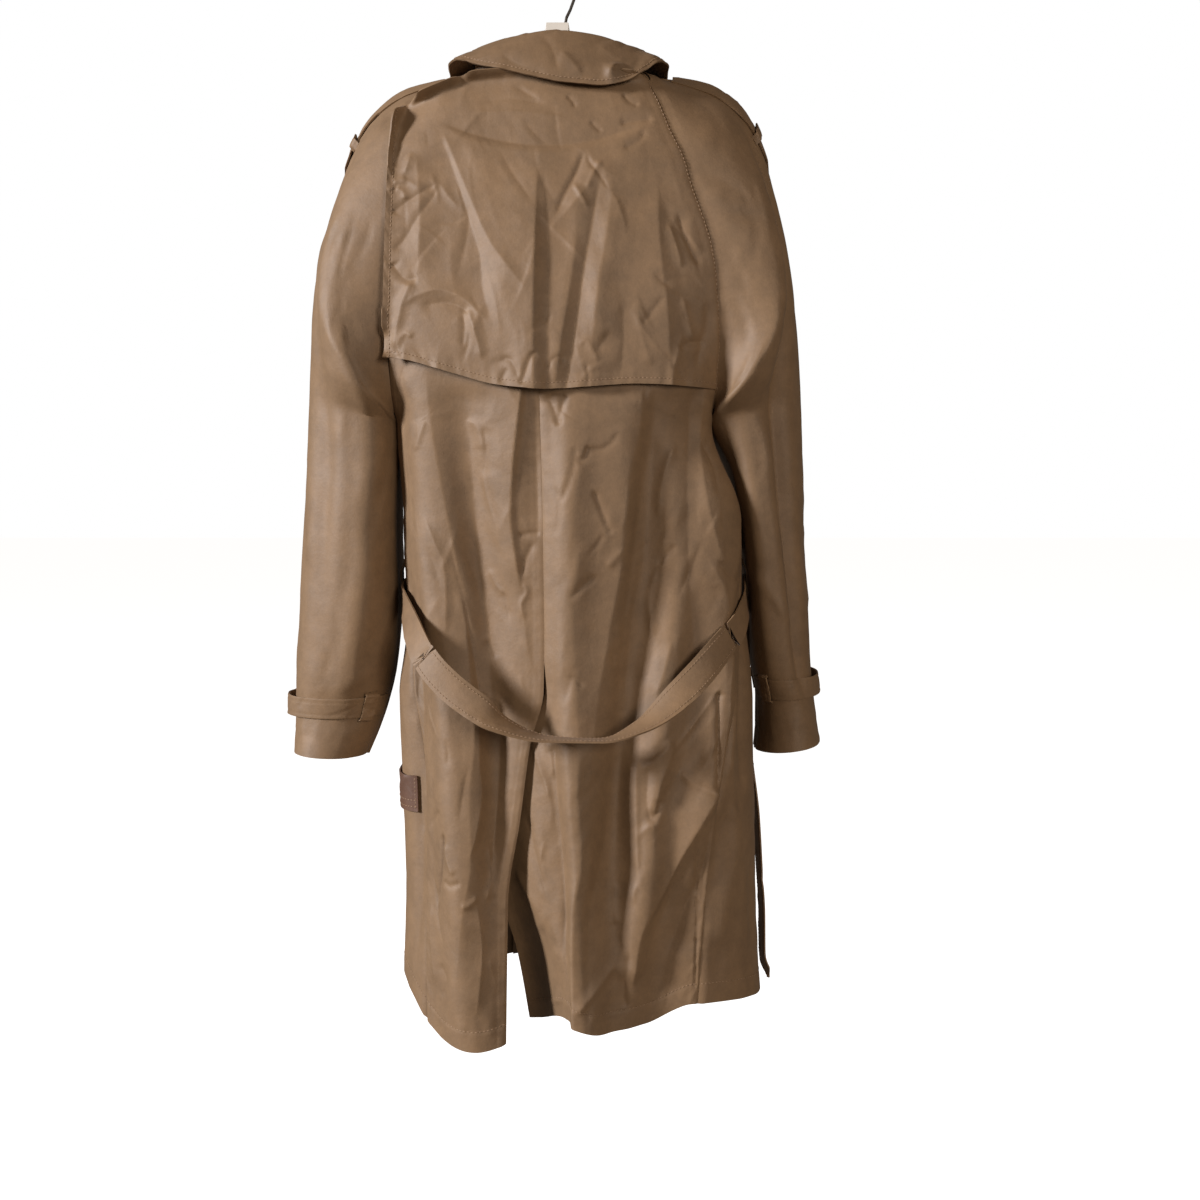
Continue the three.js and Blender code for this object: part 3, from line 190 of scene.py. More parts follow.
# Collar by share of the way from centre back (0) to its front end (1)
COLLAR = {
    "part": [0, 0.2, 0.4, 0.52, 0.66, 0.83, 1],
    "stand": [36, 32, 25, 21, 18, 18, 20],
    "lean": [2, 2, 1, 1, 2, 3, 4],
    "left": {"out": [26, 25, 24, 27, 28, 28, 28], "down": [58, 44, 26, 13, 15, 34, 52]},
    "right": {"out": [26, 26, 25, 28, 28, 28, 28], "down": [58, 57, 40, 14, 12, 32, 52]},
}
COLLAR_END_X = 66.0
COLLAR_FOLD = 4.5
COLLAR_CLEAR = 8.0

# Belt from its left end in front, through both loops and across the back to its right end
BELT = {
    "x": [-124, -128, -138, -156, -165, -165.6, -165, -150, -132, -107, -77, -57, -10, 43, 83, 123, 160, 189,
          197.5, 197, 199, 201, 206, 216, 220, 223, 224, 232],
    "y": [88, 86, 84, 64, 30, 2, -30, -84, -117, -131, -140, -143, -145, -144, -139, -125, -98, -60, -28,
          2, 26, 44, 36, 26, 22, 22, 22, 22],
    "z": [-985, -900, -790, -715, -690, -682, -686, -710, -741, -766, -787, -800, -815, -817, -804, -774, -740,
          -708, -688, -678, -688, -740, -850, -933, -996, -1040, -1088, -1120],
    "tilt": [0, 0, 0, 10, 4, 0, 0, 14, 24, 30, 46, 74, 90, 94, 84, 52, 26, 12, 4, 0, 10, 10, 0, 0, 0, 0, 0, 20],
}
BELT_WIDE = 30.0
BELT_POINT = 16.0
BELT_LOOP = {"at": 91, "high": -646, "low": -714, "half": 4.5, "stand": 7.8}

# Small pieces
CLOSE = 2.7
EPAULETTE = {"from": 0.9, "shoulder": 4.0, "to": 4.5, "half": 20, "loopRow": 3.6, "loopHalf": 28,
             "loopSpan": 0.11, "above": 1.3, "seated": -0.8}
EPAULETTE_SHIFT = {"left": 12, "right": 0}
CUFF_STRAP = {"left": 12.75, "right": 12.4, "span": 0.24, "from": 0.05, "to": 0.93, "bulge": 7}
CUFF_LOOP = {"at": 0.13, "half": 0.025, "reach": 0.34, "stand": 3.4}
POCKET = {"top": -872, "low": -910, "from": {"left": 66, "right": 92}, "span": 46, "lift": 4,
          "rest": {"left": 2.7, "right": 3.0}}
LAPEL = {"topIn": -206, "topOut": -232, "tip": -350, "innerX": 14, "wide": 90, "point": 8, "lift": 3}

# Steps of each grid, down it and across it
BACK_GRID = (500, 136)
FRONT_GRID = (200, 90)
SLEEVE_GRID = {"back": (330, 84), "front": (180, 56)}
CAPE_GRID = (210, 210)
COLLAR_GRID = (240, 56)
BELT_GRID = (420, 10)


# Curves and tables


def mix(a, b, t):
    return a + (b - a) * t


def smooth(t):
    s = np.clip(t, 0.0, 1.0)
    return s * s * (3 - 2 * s)


def curve(knots, values, at):
    """Cubic through a table's rows without overshoot, level beyond its ends."""
    knots = np.asarray(knots, float)
    values = np.asarray(values, float)
    at = np.asarray(at, float)
    if knots[0] > knots[-1]:
        knots, at = -knots, -at
    at = np.clip(at, knots[0], knots[-1])
    chord = np.diff(values) / np.diff(knots)
    product = chord[:-1] * chord[1:]
    total = np.where(product > 0, chord[:-1] + chord[1:], 1.0)
    slope = np.concatenate([chord[:1], np.where(product > 0, 2 * product / total, 0.0), chord[-1:]])
    i = np.clip(np.searchsorted(knots, at, side="right") - 1, 0, len(knots) - 2)
    span = knots[i + 1] - knots[i]
    t = (at - knots[i]) / span
    rise = values[i + 1] - values[i]
    first, final = slope[i] * span, slope[i + 1] * span
    return values[i] + t * (first + t * (3 * rise - 2 * first - final + t * (first + final - 2 * rise)))


def read(table, column, at, key="z"):
    return curve(table[key], table[column], at)


def unit(vectors):
    return vectors / np.maximum(np.linalg.norm(vectors, axis=-1, keepdims=True), 1e-9)


def xyz(x, y, z):
    return np.stack(np.broadcast_arrays(np.asarray(x, float), np.asarray(y, float), np.asarray(z, float)), -1)


def fold_lift(folds, along, across, key="z", place="x", scale=1.0):
    lift = 0.0
    for fold in folds:
        off = (across - read(fold, place, along, key)) * scale / read(fold, "half", along, key)
        lift = lift + read(fold, "rise", along, key) * np.exp(-off * off)
    return lift


# The body


def body_point(deg, z, lift=0.0):
    """Outer face at an angle from centre back (wearer's right above 0) and a height."""
    a = np.radians(deg)
    wide = read(BODY, "wide", z)
    depth = np.where(np.cos(a) >= 0, read(BODY, "back", z), read(BODY, "front", z))
    flat = np.where(np.cos(a) >= 0, BODY_FLAT["back"], BODY_FLAT["front"])
    facing, reach = np.sign(np.cos(a)), np.abs(np.cos(a))
    base = xyz(read(BODY, "midX", z) + wide * np.sin(a), -facing * depth * reach ** flat, z)
    out = unit(xyz(np.sin(a) / wide, -facing * reach ** (2 - flat) / (flat * depth), 0.0))
    rear_share = smooth(np.cos(a) + 0.5)
    rear = fold_lift([f for f in BODY_FOLDS if f["face"] > 0], z, base[..., 0])
    fore = fold_lift([f for f in BODY_FOLDS if f["face"] < 0], z, base[..., 0])
    return base + out * (lift + rear * rear_share + fore * (1 - rear_share))[..., None]


def back_angle(x, z):
    return np.degrees(np.arcsin((x - read(BODY, "midX", z)) / read(BODY, "wide", z)))


def front_angle(side, x, z):
    return side * 180 - back_angle(x, z)


def side_name(side):
    return "left" if side < 0 else "right"


def side_seam(side, z):
    return side * read(SIDE_SEAM, side_name(side), z)


def front_seam(side, z):
    return np.where(z > UNDERARM_Z, side * 180 - side_seam(side, z), side_seam(side, z))


def seam_height(row):
    return read(SEAM_HEIGHT, "z", row, "row")


def centre_x(z):
    return read(CENTRE_SEAM, "x", z)


def hem_height(deg):
    return read(HEM, "z", np.where(deg > 180, deg - 360, np.where(deg < -180, deg + 360, deg)), "deg")


def row_height(step, hem):
    upper = seam_height(UNDERARM_ROW * np.minimum(step, TOP_STEPS) / TOP_STEPS)
    return np.where(step <= TOP_STEPS, upper, mix(UNDERARM_Z, hem, (step - TOP_STEPS) / LOW_STEPS))


def back_point(side, step, u):
    """Half of the back, from the centre seam (u 0) to the raglan and side seams (u 1)."""

    def centre(z):
        return back_angle(centre_x(z) - (read(VENT, "under", z) if side > 0 else 0.0), z)

    hem = hem_height(mix(back_angle(centre_x(HEM_REF), HEM_REF), side_seam(side, HEM_REF), u))
    z = row_height(step, hem)
    point = body_point(mix(centre(z), side_seam(side, z), u), z)
    if side > 0:
        reach = (point[..., 0] - body_point(centre(z), z)[..., 0]) / read(VENT, "width", z)
        point[..., 1] += read(VENT, "depth", z) * (1 - smooth(reach))
    return point


def front_point(side, step, u):
    """One front, from the raglan and side seams (u 0) past the centre to its free edge (u 1)."""
    edge_x = -side * FRONT_OVERLAP
    hem = hem_height(mix(side_seam(side, HEM_REF), front_angle(side, edge_x, HEM_REF), u))
    neck_share = smooth(1 - step / 5)
    z = row_height(step, hem) - NECK_FRONT_DROP * smooth(u * 1.7) * neck_share
    plain = mix(front_seam(side, z), front_angle(side, edge_x, z), u)
    neck_x = mix(body_point(front_seam(side, NECK_Z), NECK_Z)[..., 0], edge_x, u)
    share = neck_share * np.minimum(1, u * 4)
    point = body_point(mix(plain, front_angle(side, neck_x, z), share), z)
    if side < 0:
        raised = OVERLAP_LIFT * smooth((point[..., 0] + FRONT_OVERLAP + 40) / 34)
        point[..., 1] += np.where(point[..., 1] > 0, raised, 0.0)
    return point


# The sleeves


def sleeve_base(side, row, v):
    row, v = np.broadcast_arrays(np.asarray(row, float), np.asarray(v, float))
    table = SLEEVES[side_name(side)]
    facing = np.where(v <= 0.5, -1.0, 1.0)
    t = np.where(v <= 0.5, v * 2, (1 - v) * 2)
    top = xyz(*(read(table, name, row, "row") for name in ("topX", "topY", "topZ")))
    z = seam_height(np.minimum(row, UNDERARM_ROW))
    angle = np.where(facing < 0, side_seam(side, z), front_seam(side, z + 1e-9))
    inner = UNDERARM_SEAM[side_name(side)]
    low = xyz(curve(UNDERARM_SEAM["row"], inner["x"], row), curve(UNDERARM_SEAM["row"], inner["y"], row),
              read(UNDERARM_SEAM, "z", row, "row"))
    seam = np.where((row <= UNDERARM_ROW)[..., None], body_point(angle, z), low)
    leave = np.radians(read(table, "leave", row, "row"))
    dip = np.radians(read(SLEEVE_DIP, "deg", row, "row"))
    seam_arm = read(table, "seamArm", row, "row")
    top_arm = read(table, "topArm", row, "row")
    near_seam = seam + xyz(side * np.cos(leave) * seam_arm, facing * np.sin(leave) * seam_arm,
                           (top[..., 2] - seam[..., 2]) * 0.3)
    near_top = top + xyz(0.0, facing * np.cos(dip) * top_arm, -np.sin(dip) * top_arm)
    t = t[..., None]
    s = 1 - t
    return s ** 3 * seam + 3 * s * s * t * near_seam + 3 * s * t * t * near_top + t ** 3 * top


def sleeve_normal(side, row, v):
    row, v = np.broadcast_arrays(np.asarray(row, float), np.asarray(v, float))
    low = np.where(v <= 0.5, 0.0, 0.5 + 1e-9)
    high = np.where(v <= 0.5, 0.5, 1.0)
    across = sleeve_base(side, row, np.minimum(v + 0.004, high)) - sleeve_base(side, row, np.maximum(v - 0.004, low))
    down = (sleeve_base(side, np.minimum(row + 0.02, CUFF_ROW), v)
            - sleeve_base(side, np.maximum(row - 0.02, 0), v))
    return unit(-side * np.cross(across, down))


def sleeve_point(side, row, v, lift=0.0):
    """Outer face of a sleeve: row down it, v around it from the back seam over the outer seam."""
    fold = fold_lift(SLEEVE_FOLDS[side_name(side)], row, v, "row", "around", SLEEVE_ROUND)
    edge = smooth(np.minimum(np.minimum(v, 1 - v), np.abs(v - 0.5)) * 25)
    return sleeve_base(side, row, v) + sleeve_normal(side, row, v) * (lift + fold * edge)[..., None]


def over_sleeve(side, row, v, lift):
    """Point above a sleeve, lifted the way both halves face together near the outer seam."""
    reach = 0.05
    before = sleeve_normal(side, row, np.maximum(v - reach, 0.0))
    after = sleeve_normal(side, row, np.minimum(v + reach, 1.0))
    mean = (before + after) / 2
    spread = np.maximum(0.6, np.linalg.norm(mean, axis=-1))
    return sleeve_point(side, row, v) + unit(mean) * (lift / spread)[..., None]


# The camera's view of the cloth


def photo_place(points):
    """Where points, in millimetres, lie in the photograph's frame."""
    off = points - CAMERA_AT
    forward = np.array([0, math.cos(CAMERA_PITCH), -math.sin(CAMERA_PITCH)])
    up = np.array([0, math.sin(CAMERA_PITCH), math.cos(CAMERA_PITCH)])
    depth = off @ forward
    return PHOTO / 2 + LENS_PX * off[..., 0] / depth, PHOTO / 2 - LENS_PX * (off @ up) / depth


def facing_camera(points, normals):
    """How squarely the cloth faces the camera: 0 turned away, 1 facing it."""
    return smooth(np.sum(unit(CAMERA_AT - points) * normals, -1) * 2.5)


# Small creases, worked out from smooth noise


def noise(u, v, seed):
    """Smooth noise, about -1 to 1, with bumps about one unit wide."""
    angles = np.random.default_rng(seed).uniform(0, 2 * math.pi, (64, 64))
    iu, iv = np.floor(u).astype(int), np.floor(v).astype(int)
    fu, fv = u - iu, v - iv

    def corner(i, j):
        a = angles[(iu + i) % 64, (iv + j) % 64]
        return np.cos(a) * (fu - i) + np.sin(a) * (fv - j)

    su, sv = smooth(fu), smooth(fv)
    return 1.6 * mix(mix(corner(0, 0), corner(1, 0), su), mix(corner(0, 1), corner(1, 1), su), sv)


def facets(u, v, seed):
    """Flat triangular facets, about -1 to 1 high, on a lattice one unit wide."""
    heights = np.random.default_rng(seed).uniform(-1, 1, (64, 64))
    iu, iv = np.floor(u).astype(int), np.floor(v).astype(int)
    fu, fv = u - iu, v - iv

    def corner(i, j):
        return heights[(iu + i) % 64, (iv + j) % 64]

    low = corner(0, 0) + (corner(1, 0) - corner(0, 0)) * fu + (corner(0, 1) - corner(0, 0)) * fv
    high = corner(1, 1) + (corner(0, 1) - corner(1, 1)) * (1 - fu) + (corner(1, 0) - corner(1, 1)) * (1 - fv)
    return np.where(fu + fv < 1, low, high)


FACET_LAYERS = (  # size across and down, turn in degrees and height of the cloth's smaller crumples
    (27.0, 60.0, -14.0, 1.0),
    (15.0, 28.0, 23.0, 0.5),
    (8.0, 13.0, -31.0, 0.2),
)
EVEN_FLANK = 60.0  # a flank this wide, in mm, falls evenly from crest to foot; a narrow one eases off


def flank(distance, width):
    """Side of a fold: 1 at its sharp crest, down to 0 at its foot."""
    t = np.clip(1 - distance / width, 0, 1)
    even = np.clip(width / EVEN_FLANK, 0.1, 0.8)
    return t * (even + (1 - even) * t)


def crumple(u, v, seed, amount=1.0, fine=1.0):
    """Height of a thin, stiff cloth's crumples at u, v millimetres across and down it."""
    bend_u = u + 15 * noise(u / 60, v / 80, seed) + 5 * noise(u / 19, v / 25, seed + 1)
    bend_v = v + 22 * noise(u / 70, v / 70, seed + 2) + 6 * noise(u / 22, v / 22, seed + 3)
    patches = smooth(0.3 + 1.2 * noise(u / 75, v / 120, seed + 4))
    waves = noise(bend_u / 60, bend_v / 240, seed + 5)
    ridges = 1.6 * np.abs(noise(bend_u / 44, bend_v / 150, seed + 6))
    height = amount * (waves - ridges)
    for layer, (wide, tall, turn, rise) in enumerate(FACET_LAYERS):
        a = math.radians(turn)
        along = (bend_u * math.cos(a) + bend_v * math.sin(a)) / wide
        down = (bend_v * math.cos(a) - bend_u * math.sin(a)) / tall
        share = fine * (0.2 + 0.8 * patches)
        height = height + share * rise * facets(along + 20, down + 20, seed + 7 + layer)
    return height


def scatter_creases(u, v, seed, count, lean=0.0, spread=24.0, scale=1.0):
    """Height of many short folds strewn over the cloth, one flank steep, most of them running down it."""
    rng = np.random.default_rng(seed)
    low_u, high_u, low_v, high_v = u.min(), u.max(), v.min(), v.max()
    lift = np.zeros(u.shape)
    for _ in range(count):
        centre = rng.uniform(low_u, high_u), rng.uniform(low_v, high_v)
        angle = math.radians(lean + rng.normal(0, spread))
        length = rng.uniform(24, 110) * scale
        gentle = rng.uniform(8.0, 24.0) * scale
        steep = gentle * rng.uniform(0.2, 0.7)
        rise = steep * rng.uniform(0.1, 0.24) * rng.choice((-1.0, 1.0))
        bow = rng.normal(0, 0.12)
        near = np.hypot(u - centre[0], v - centre[1]) < length / 2 + gentle
        off_u, off_v = u[near] - centre[0], v[near] - centre[1]
        share = (off_u * math.sin(angle) + off_v * math.cos(angle)) / length
        across = off_u * math.cos(angle) - off_v * math.sin(angle) + bow * length * share * share * 2
        taper = smooth((0.5 - np.abs(share)) / 0.4)
        if rng.random() < 0.5:
            across = -across
        lift[near] += rise * taper * np.where(across < 0, flank(-across, gentle), flank(across, steep))
    return lift


# Folds and creases seen in the photograph: rise in mm, widths in mm of the flanks left and right of
# the line (below and above one that runs to the right), shares of the line over which it dies
# out at its start and end, and the line in photo pixels

CAPE_CREASES = [
    (5.2, 62, 13, 0.4, 0, [(539, 146), (536, 200), (534, 260), (533, 320), (534, 388)]),
    (-2.0, 10, 30, 0.4, 0, [(542, 150), (547, 200), (549, 250), (548, 310), (547, 388)]),
    (-5.2, 54, 26, 0.15, 0.3, [(440, 134), (453, 170), (467, 215), (478, 252), (482, 290), (494, 330)]),
    (1.8, 14, 12, 0.1, 0.2, [(443, 131), (470, 198), (488, 238), (506, 264), (530, 294)]),
    (2.2, 16, 20, 0.2, 0.2, [(416, 150), (420, 210), (418, 278)]),
    (-4.6, 17, 24, 0.2, 0, [(603, 166), (597, 192), (590, 232), (582, 276), (575, 330), (566, 386)]),
    (2.4, 14, 30, 0.3, 0.2, [(613, 176), (607, 230), (599, 280), (590, 360)]),
    (2.2, 22, 12, 0.3, 0.1, [(578, 214), (572, 270), (562, 330), (554, 386)]),
    (-2.6, 7, 13, 0.2, 0.2, [(585, 148), (576, 172), (564, 195), (555, 215)]),
    (1.8, 5, 8, 0.2, 0.3, [(573, 182), (581, 196), (589, 209)]),
    (1.5, 6, 6, 0.2, 0.2, [(604, 160), (596, 168), (586, 190)]),
    (-1.3, 5, 6, 0.2, 0.2, [(586, 150), (590, 162), (601, 176), (609, 190)]),
    (-3.4, 9, 24, 0.15, 0.2, [(438, 122), (478, 134), (528, 143), (580, 142), (622, 131), (654, 120)]),
    (1.2, 12, 9, 0.2, 0.2, [(470, 112), (520, 112), (570, 118)]),
    (-1.1, 8, 10, 0.2, 0.2, [(480, 101), (512, 98), (548, 104)]),
    (-1.3, 5, 5, 0.2, 0.2, [(590, 120), (597, 127), (603, 130)]),
    (-1.3, 5, 7, 0.2, 0.2, [(566, 95), (572, 100), (576, 108)]),
    (-1.6, 6, 9, 0.2, 0.2, [(622, 92), (630, 101), (640, 106)]),
    (-1.8, 5, 12, 0.2, 0.2, [(618, 124), (634, 121), (656, 119)]),
    (-1.5, 9, 6, 0.2, 0.2, [(646, 128), (640, 140), (622, 150)]),
    (3.0, 44, 18, 0.3, 0, [(658, 170), (659, 240), (667, 310), (670, 388)]),
    (-2.2, 8, 12, 0.2, 0.2, [(677, 210), (684, 232), (694, 255), (702, 268)]),
    (1.6, 10, 6, 0.2, 0.2, [(668, 222), (676, 245), (682, 270)]),
    (-2.0, 6, 9, 0.2, 0.1, [(679, 352), (688, 344), (706, 342)]),
    (1.6, 8, 8, 0.2, 0.2, [(682, 295), (688, 320), (694, 345)]),
    (-1.8, 8, 10, 0.2, 0.2, [(706, 300), (708, 320), (702, 345), (696, 370)]),
    (-2.0, 12, 7, 0.1, 0.2, [(391, 214), (402, 204), (420, 193), (438, 181)]),
    (-1.8, 12, 8, 0.1, 0.2, [(392, 252), (404, 238), (418, 216), (432, 196), (441, 180)]),
    (1.8, 7, 9, 0.1, 0.2, [(388, 192), (398, 181), (408, 179)]),
    (1.5, 7, 7, 0.1, 0.2, [(396, 188), (403, 192), (406, 200)]),
    (-2.2, 9, 12, 0.1, 0.1, [(391, 262), (398, 272), (406, 279), (417, 277)]),
    (2.6, 12, 10, 0.1, 0.2, [(412, 280), (402, 304), (396, 330), (392, 356)]),
    (2.4, 9, 20, 0.15, 0.15, [(403, 306), (416, 296), (437, 290), (459, 296), (475, 309), (488, 321)]),
    (-2.2, 20, 8, 0.2, 0.2, [(418, 306), (444, 302), (463, 308), (470, 318)]),
    (2.4, 8, 10, 0.15, 0.2, [(467, 306), (472, 322), (478, 342), (482, 362)]),
    (-1.6, 7, 5, 0.15, 0.2, [(462, 312), (464, 326), (462, 348)]),
    (1.6, 8, 6, 0.1, 0.1, [(412, 338), (405, 333), (398, 344), (400, 356)]),
    (-2.6, 6, 8, 0.15, 0.1, [(536, 350), (530, 360), (526, 372), (521, 386)]),
    (-1.3, 6, 6, 0.2, 0.2, [(500, 362), (508, 358), (516, 368), (519, 380)]),
    (-1.2, 5, 5, 0.2, 0.2, [(500, 384), (504, 374), (509, 368)]),
    (-1.3, 6, 6, 0.2, 0.2, [(548, 372), (551, 361), (560, 357), (564, 366)]),
    (1.4, 8, 8, 0.2, 0.2, [(578, 346), (585, 340), (593, 350), (598, 364)]),
    (-1.4, 4, 5, 0.2, 0.1, [(586, 362), (588, 374), (588, 386)]),
    (-1.2, 12, 12, 0.2, 0.2, [(622, 300), (624, 340), (620, 384)]),
    (1.5, 12, 14, 0.2, 0.2, [(636, 300), (640, 330), (652, 370)]),
    (-1.2, 8, 8, 0.2, 0.2, [(664, 296), (652, 312), (640, 326)]),
]

# Broad folds of the back: the lines where its planes meet, from left to right, by photo height: where each
# line runs in photo pixels, and its height in mm
BACK_PLANES = {
    "y": [380, 420, 480, 560, 640, 740, 800, 860, 920, 1040],
    "lines": [
        {"x": [400, 401, 405, 402, 415, 424, 424, 430, 432, 432], "rise": [-2, -3, -4, -4, -4, -4, -4, -3, -2, 0]},
        {"x": [426, 431, 441, 456, 467, 472, 468, 470, 462, 452], "rise": [2, 3, 4, 5, 6, 6, 6, 5, 3, 1]},
        {"x": [458, 466, 470, 478, 488, 494, 496, 496, 490, 486], "rise": [-4, -5, -6, -6, -5, -3, -3, -3, -2, 0]},
        {"x": [522, 518, 513, 516, 524, 528, 532, 538, 544, 548], "rise": [-1, 0, 0, -3, -5, -7, -8, -8, -8, -5]},
        {"x": [538, 538, 537, 540, 541, 543, 548, 555, 562, 564], "rise": [-5, -6, -7, -6, -7, -9, -10, -10, -9, -6]},
        {"x": [587, 587, 577, 570, 572, 577, 577, 580, 572, 572], "rise": [3, 4, 5, 4, 4, 4, 4, 3, 1, 1]},
        {"x": [642, 639, 627, 621, 607, 592, 588, 588, 580, 580], "rise": [5, 6, 6, 6, 5, 4, 3, 2, 0, 0]},
        {"x": [657, 655, 645, 634, 624, 616, 612, 604, 590, 588], "rise": [-1, -2, -2, -2, -2, -2, -3, -4, -3, -1]},
        {"x": [696, 692, 690, 691, 696, 700, 702, 702, 702, 702], "rise": [-4, -5, -5, -5, -4, -2, -1, 0, 0, 0]},
        {"x": [714, 714, 716, 720, 724, 726, 728, 728, 730, 732], "rise": [3, 4, 5, 6, 6, 3, 2, 1, 0, 0]},
    ],
}
PLANE_ROUNDING = 0.35  # 0 for planes that meet in sharp lines, 1 for even waves
PLANES_BELOW = 376.0  # photo height where they come out from under the cape
PLANES_FULL = 404.0

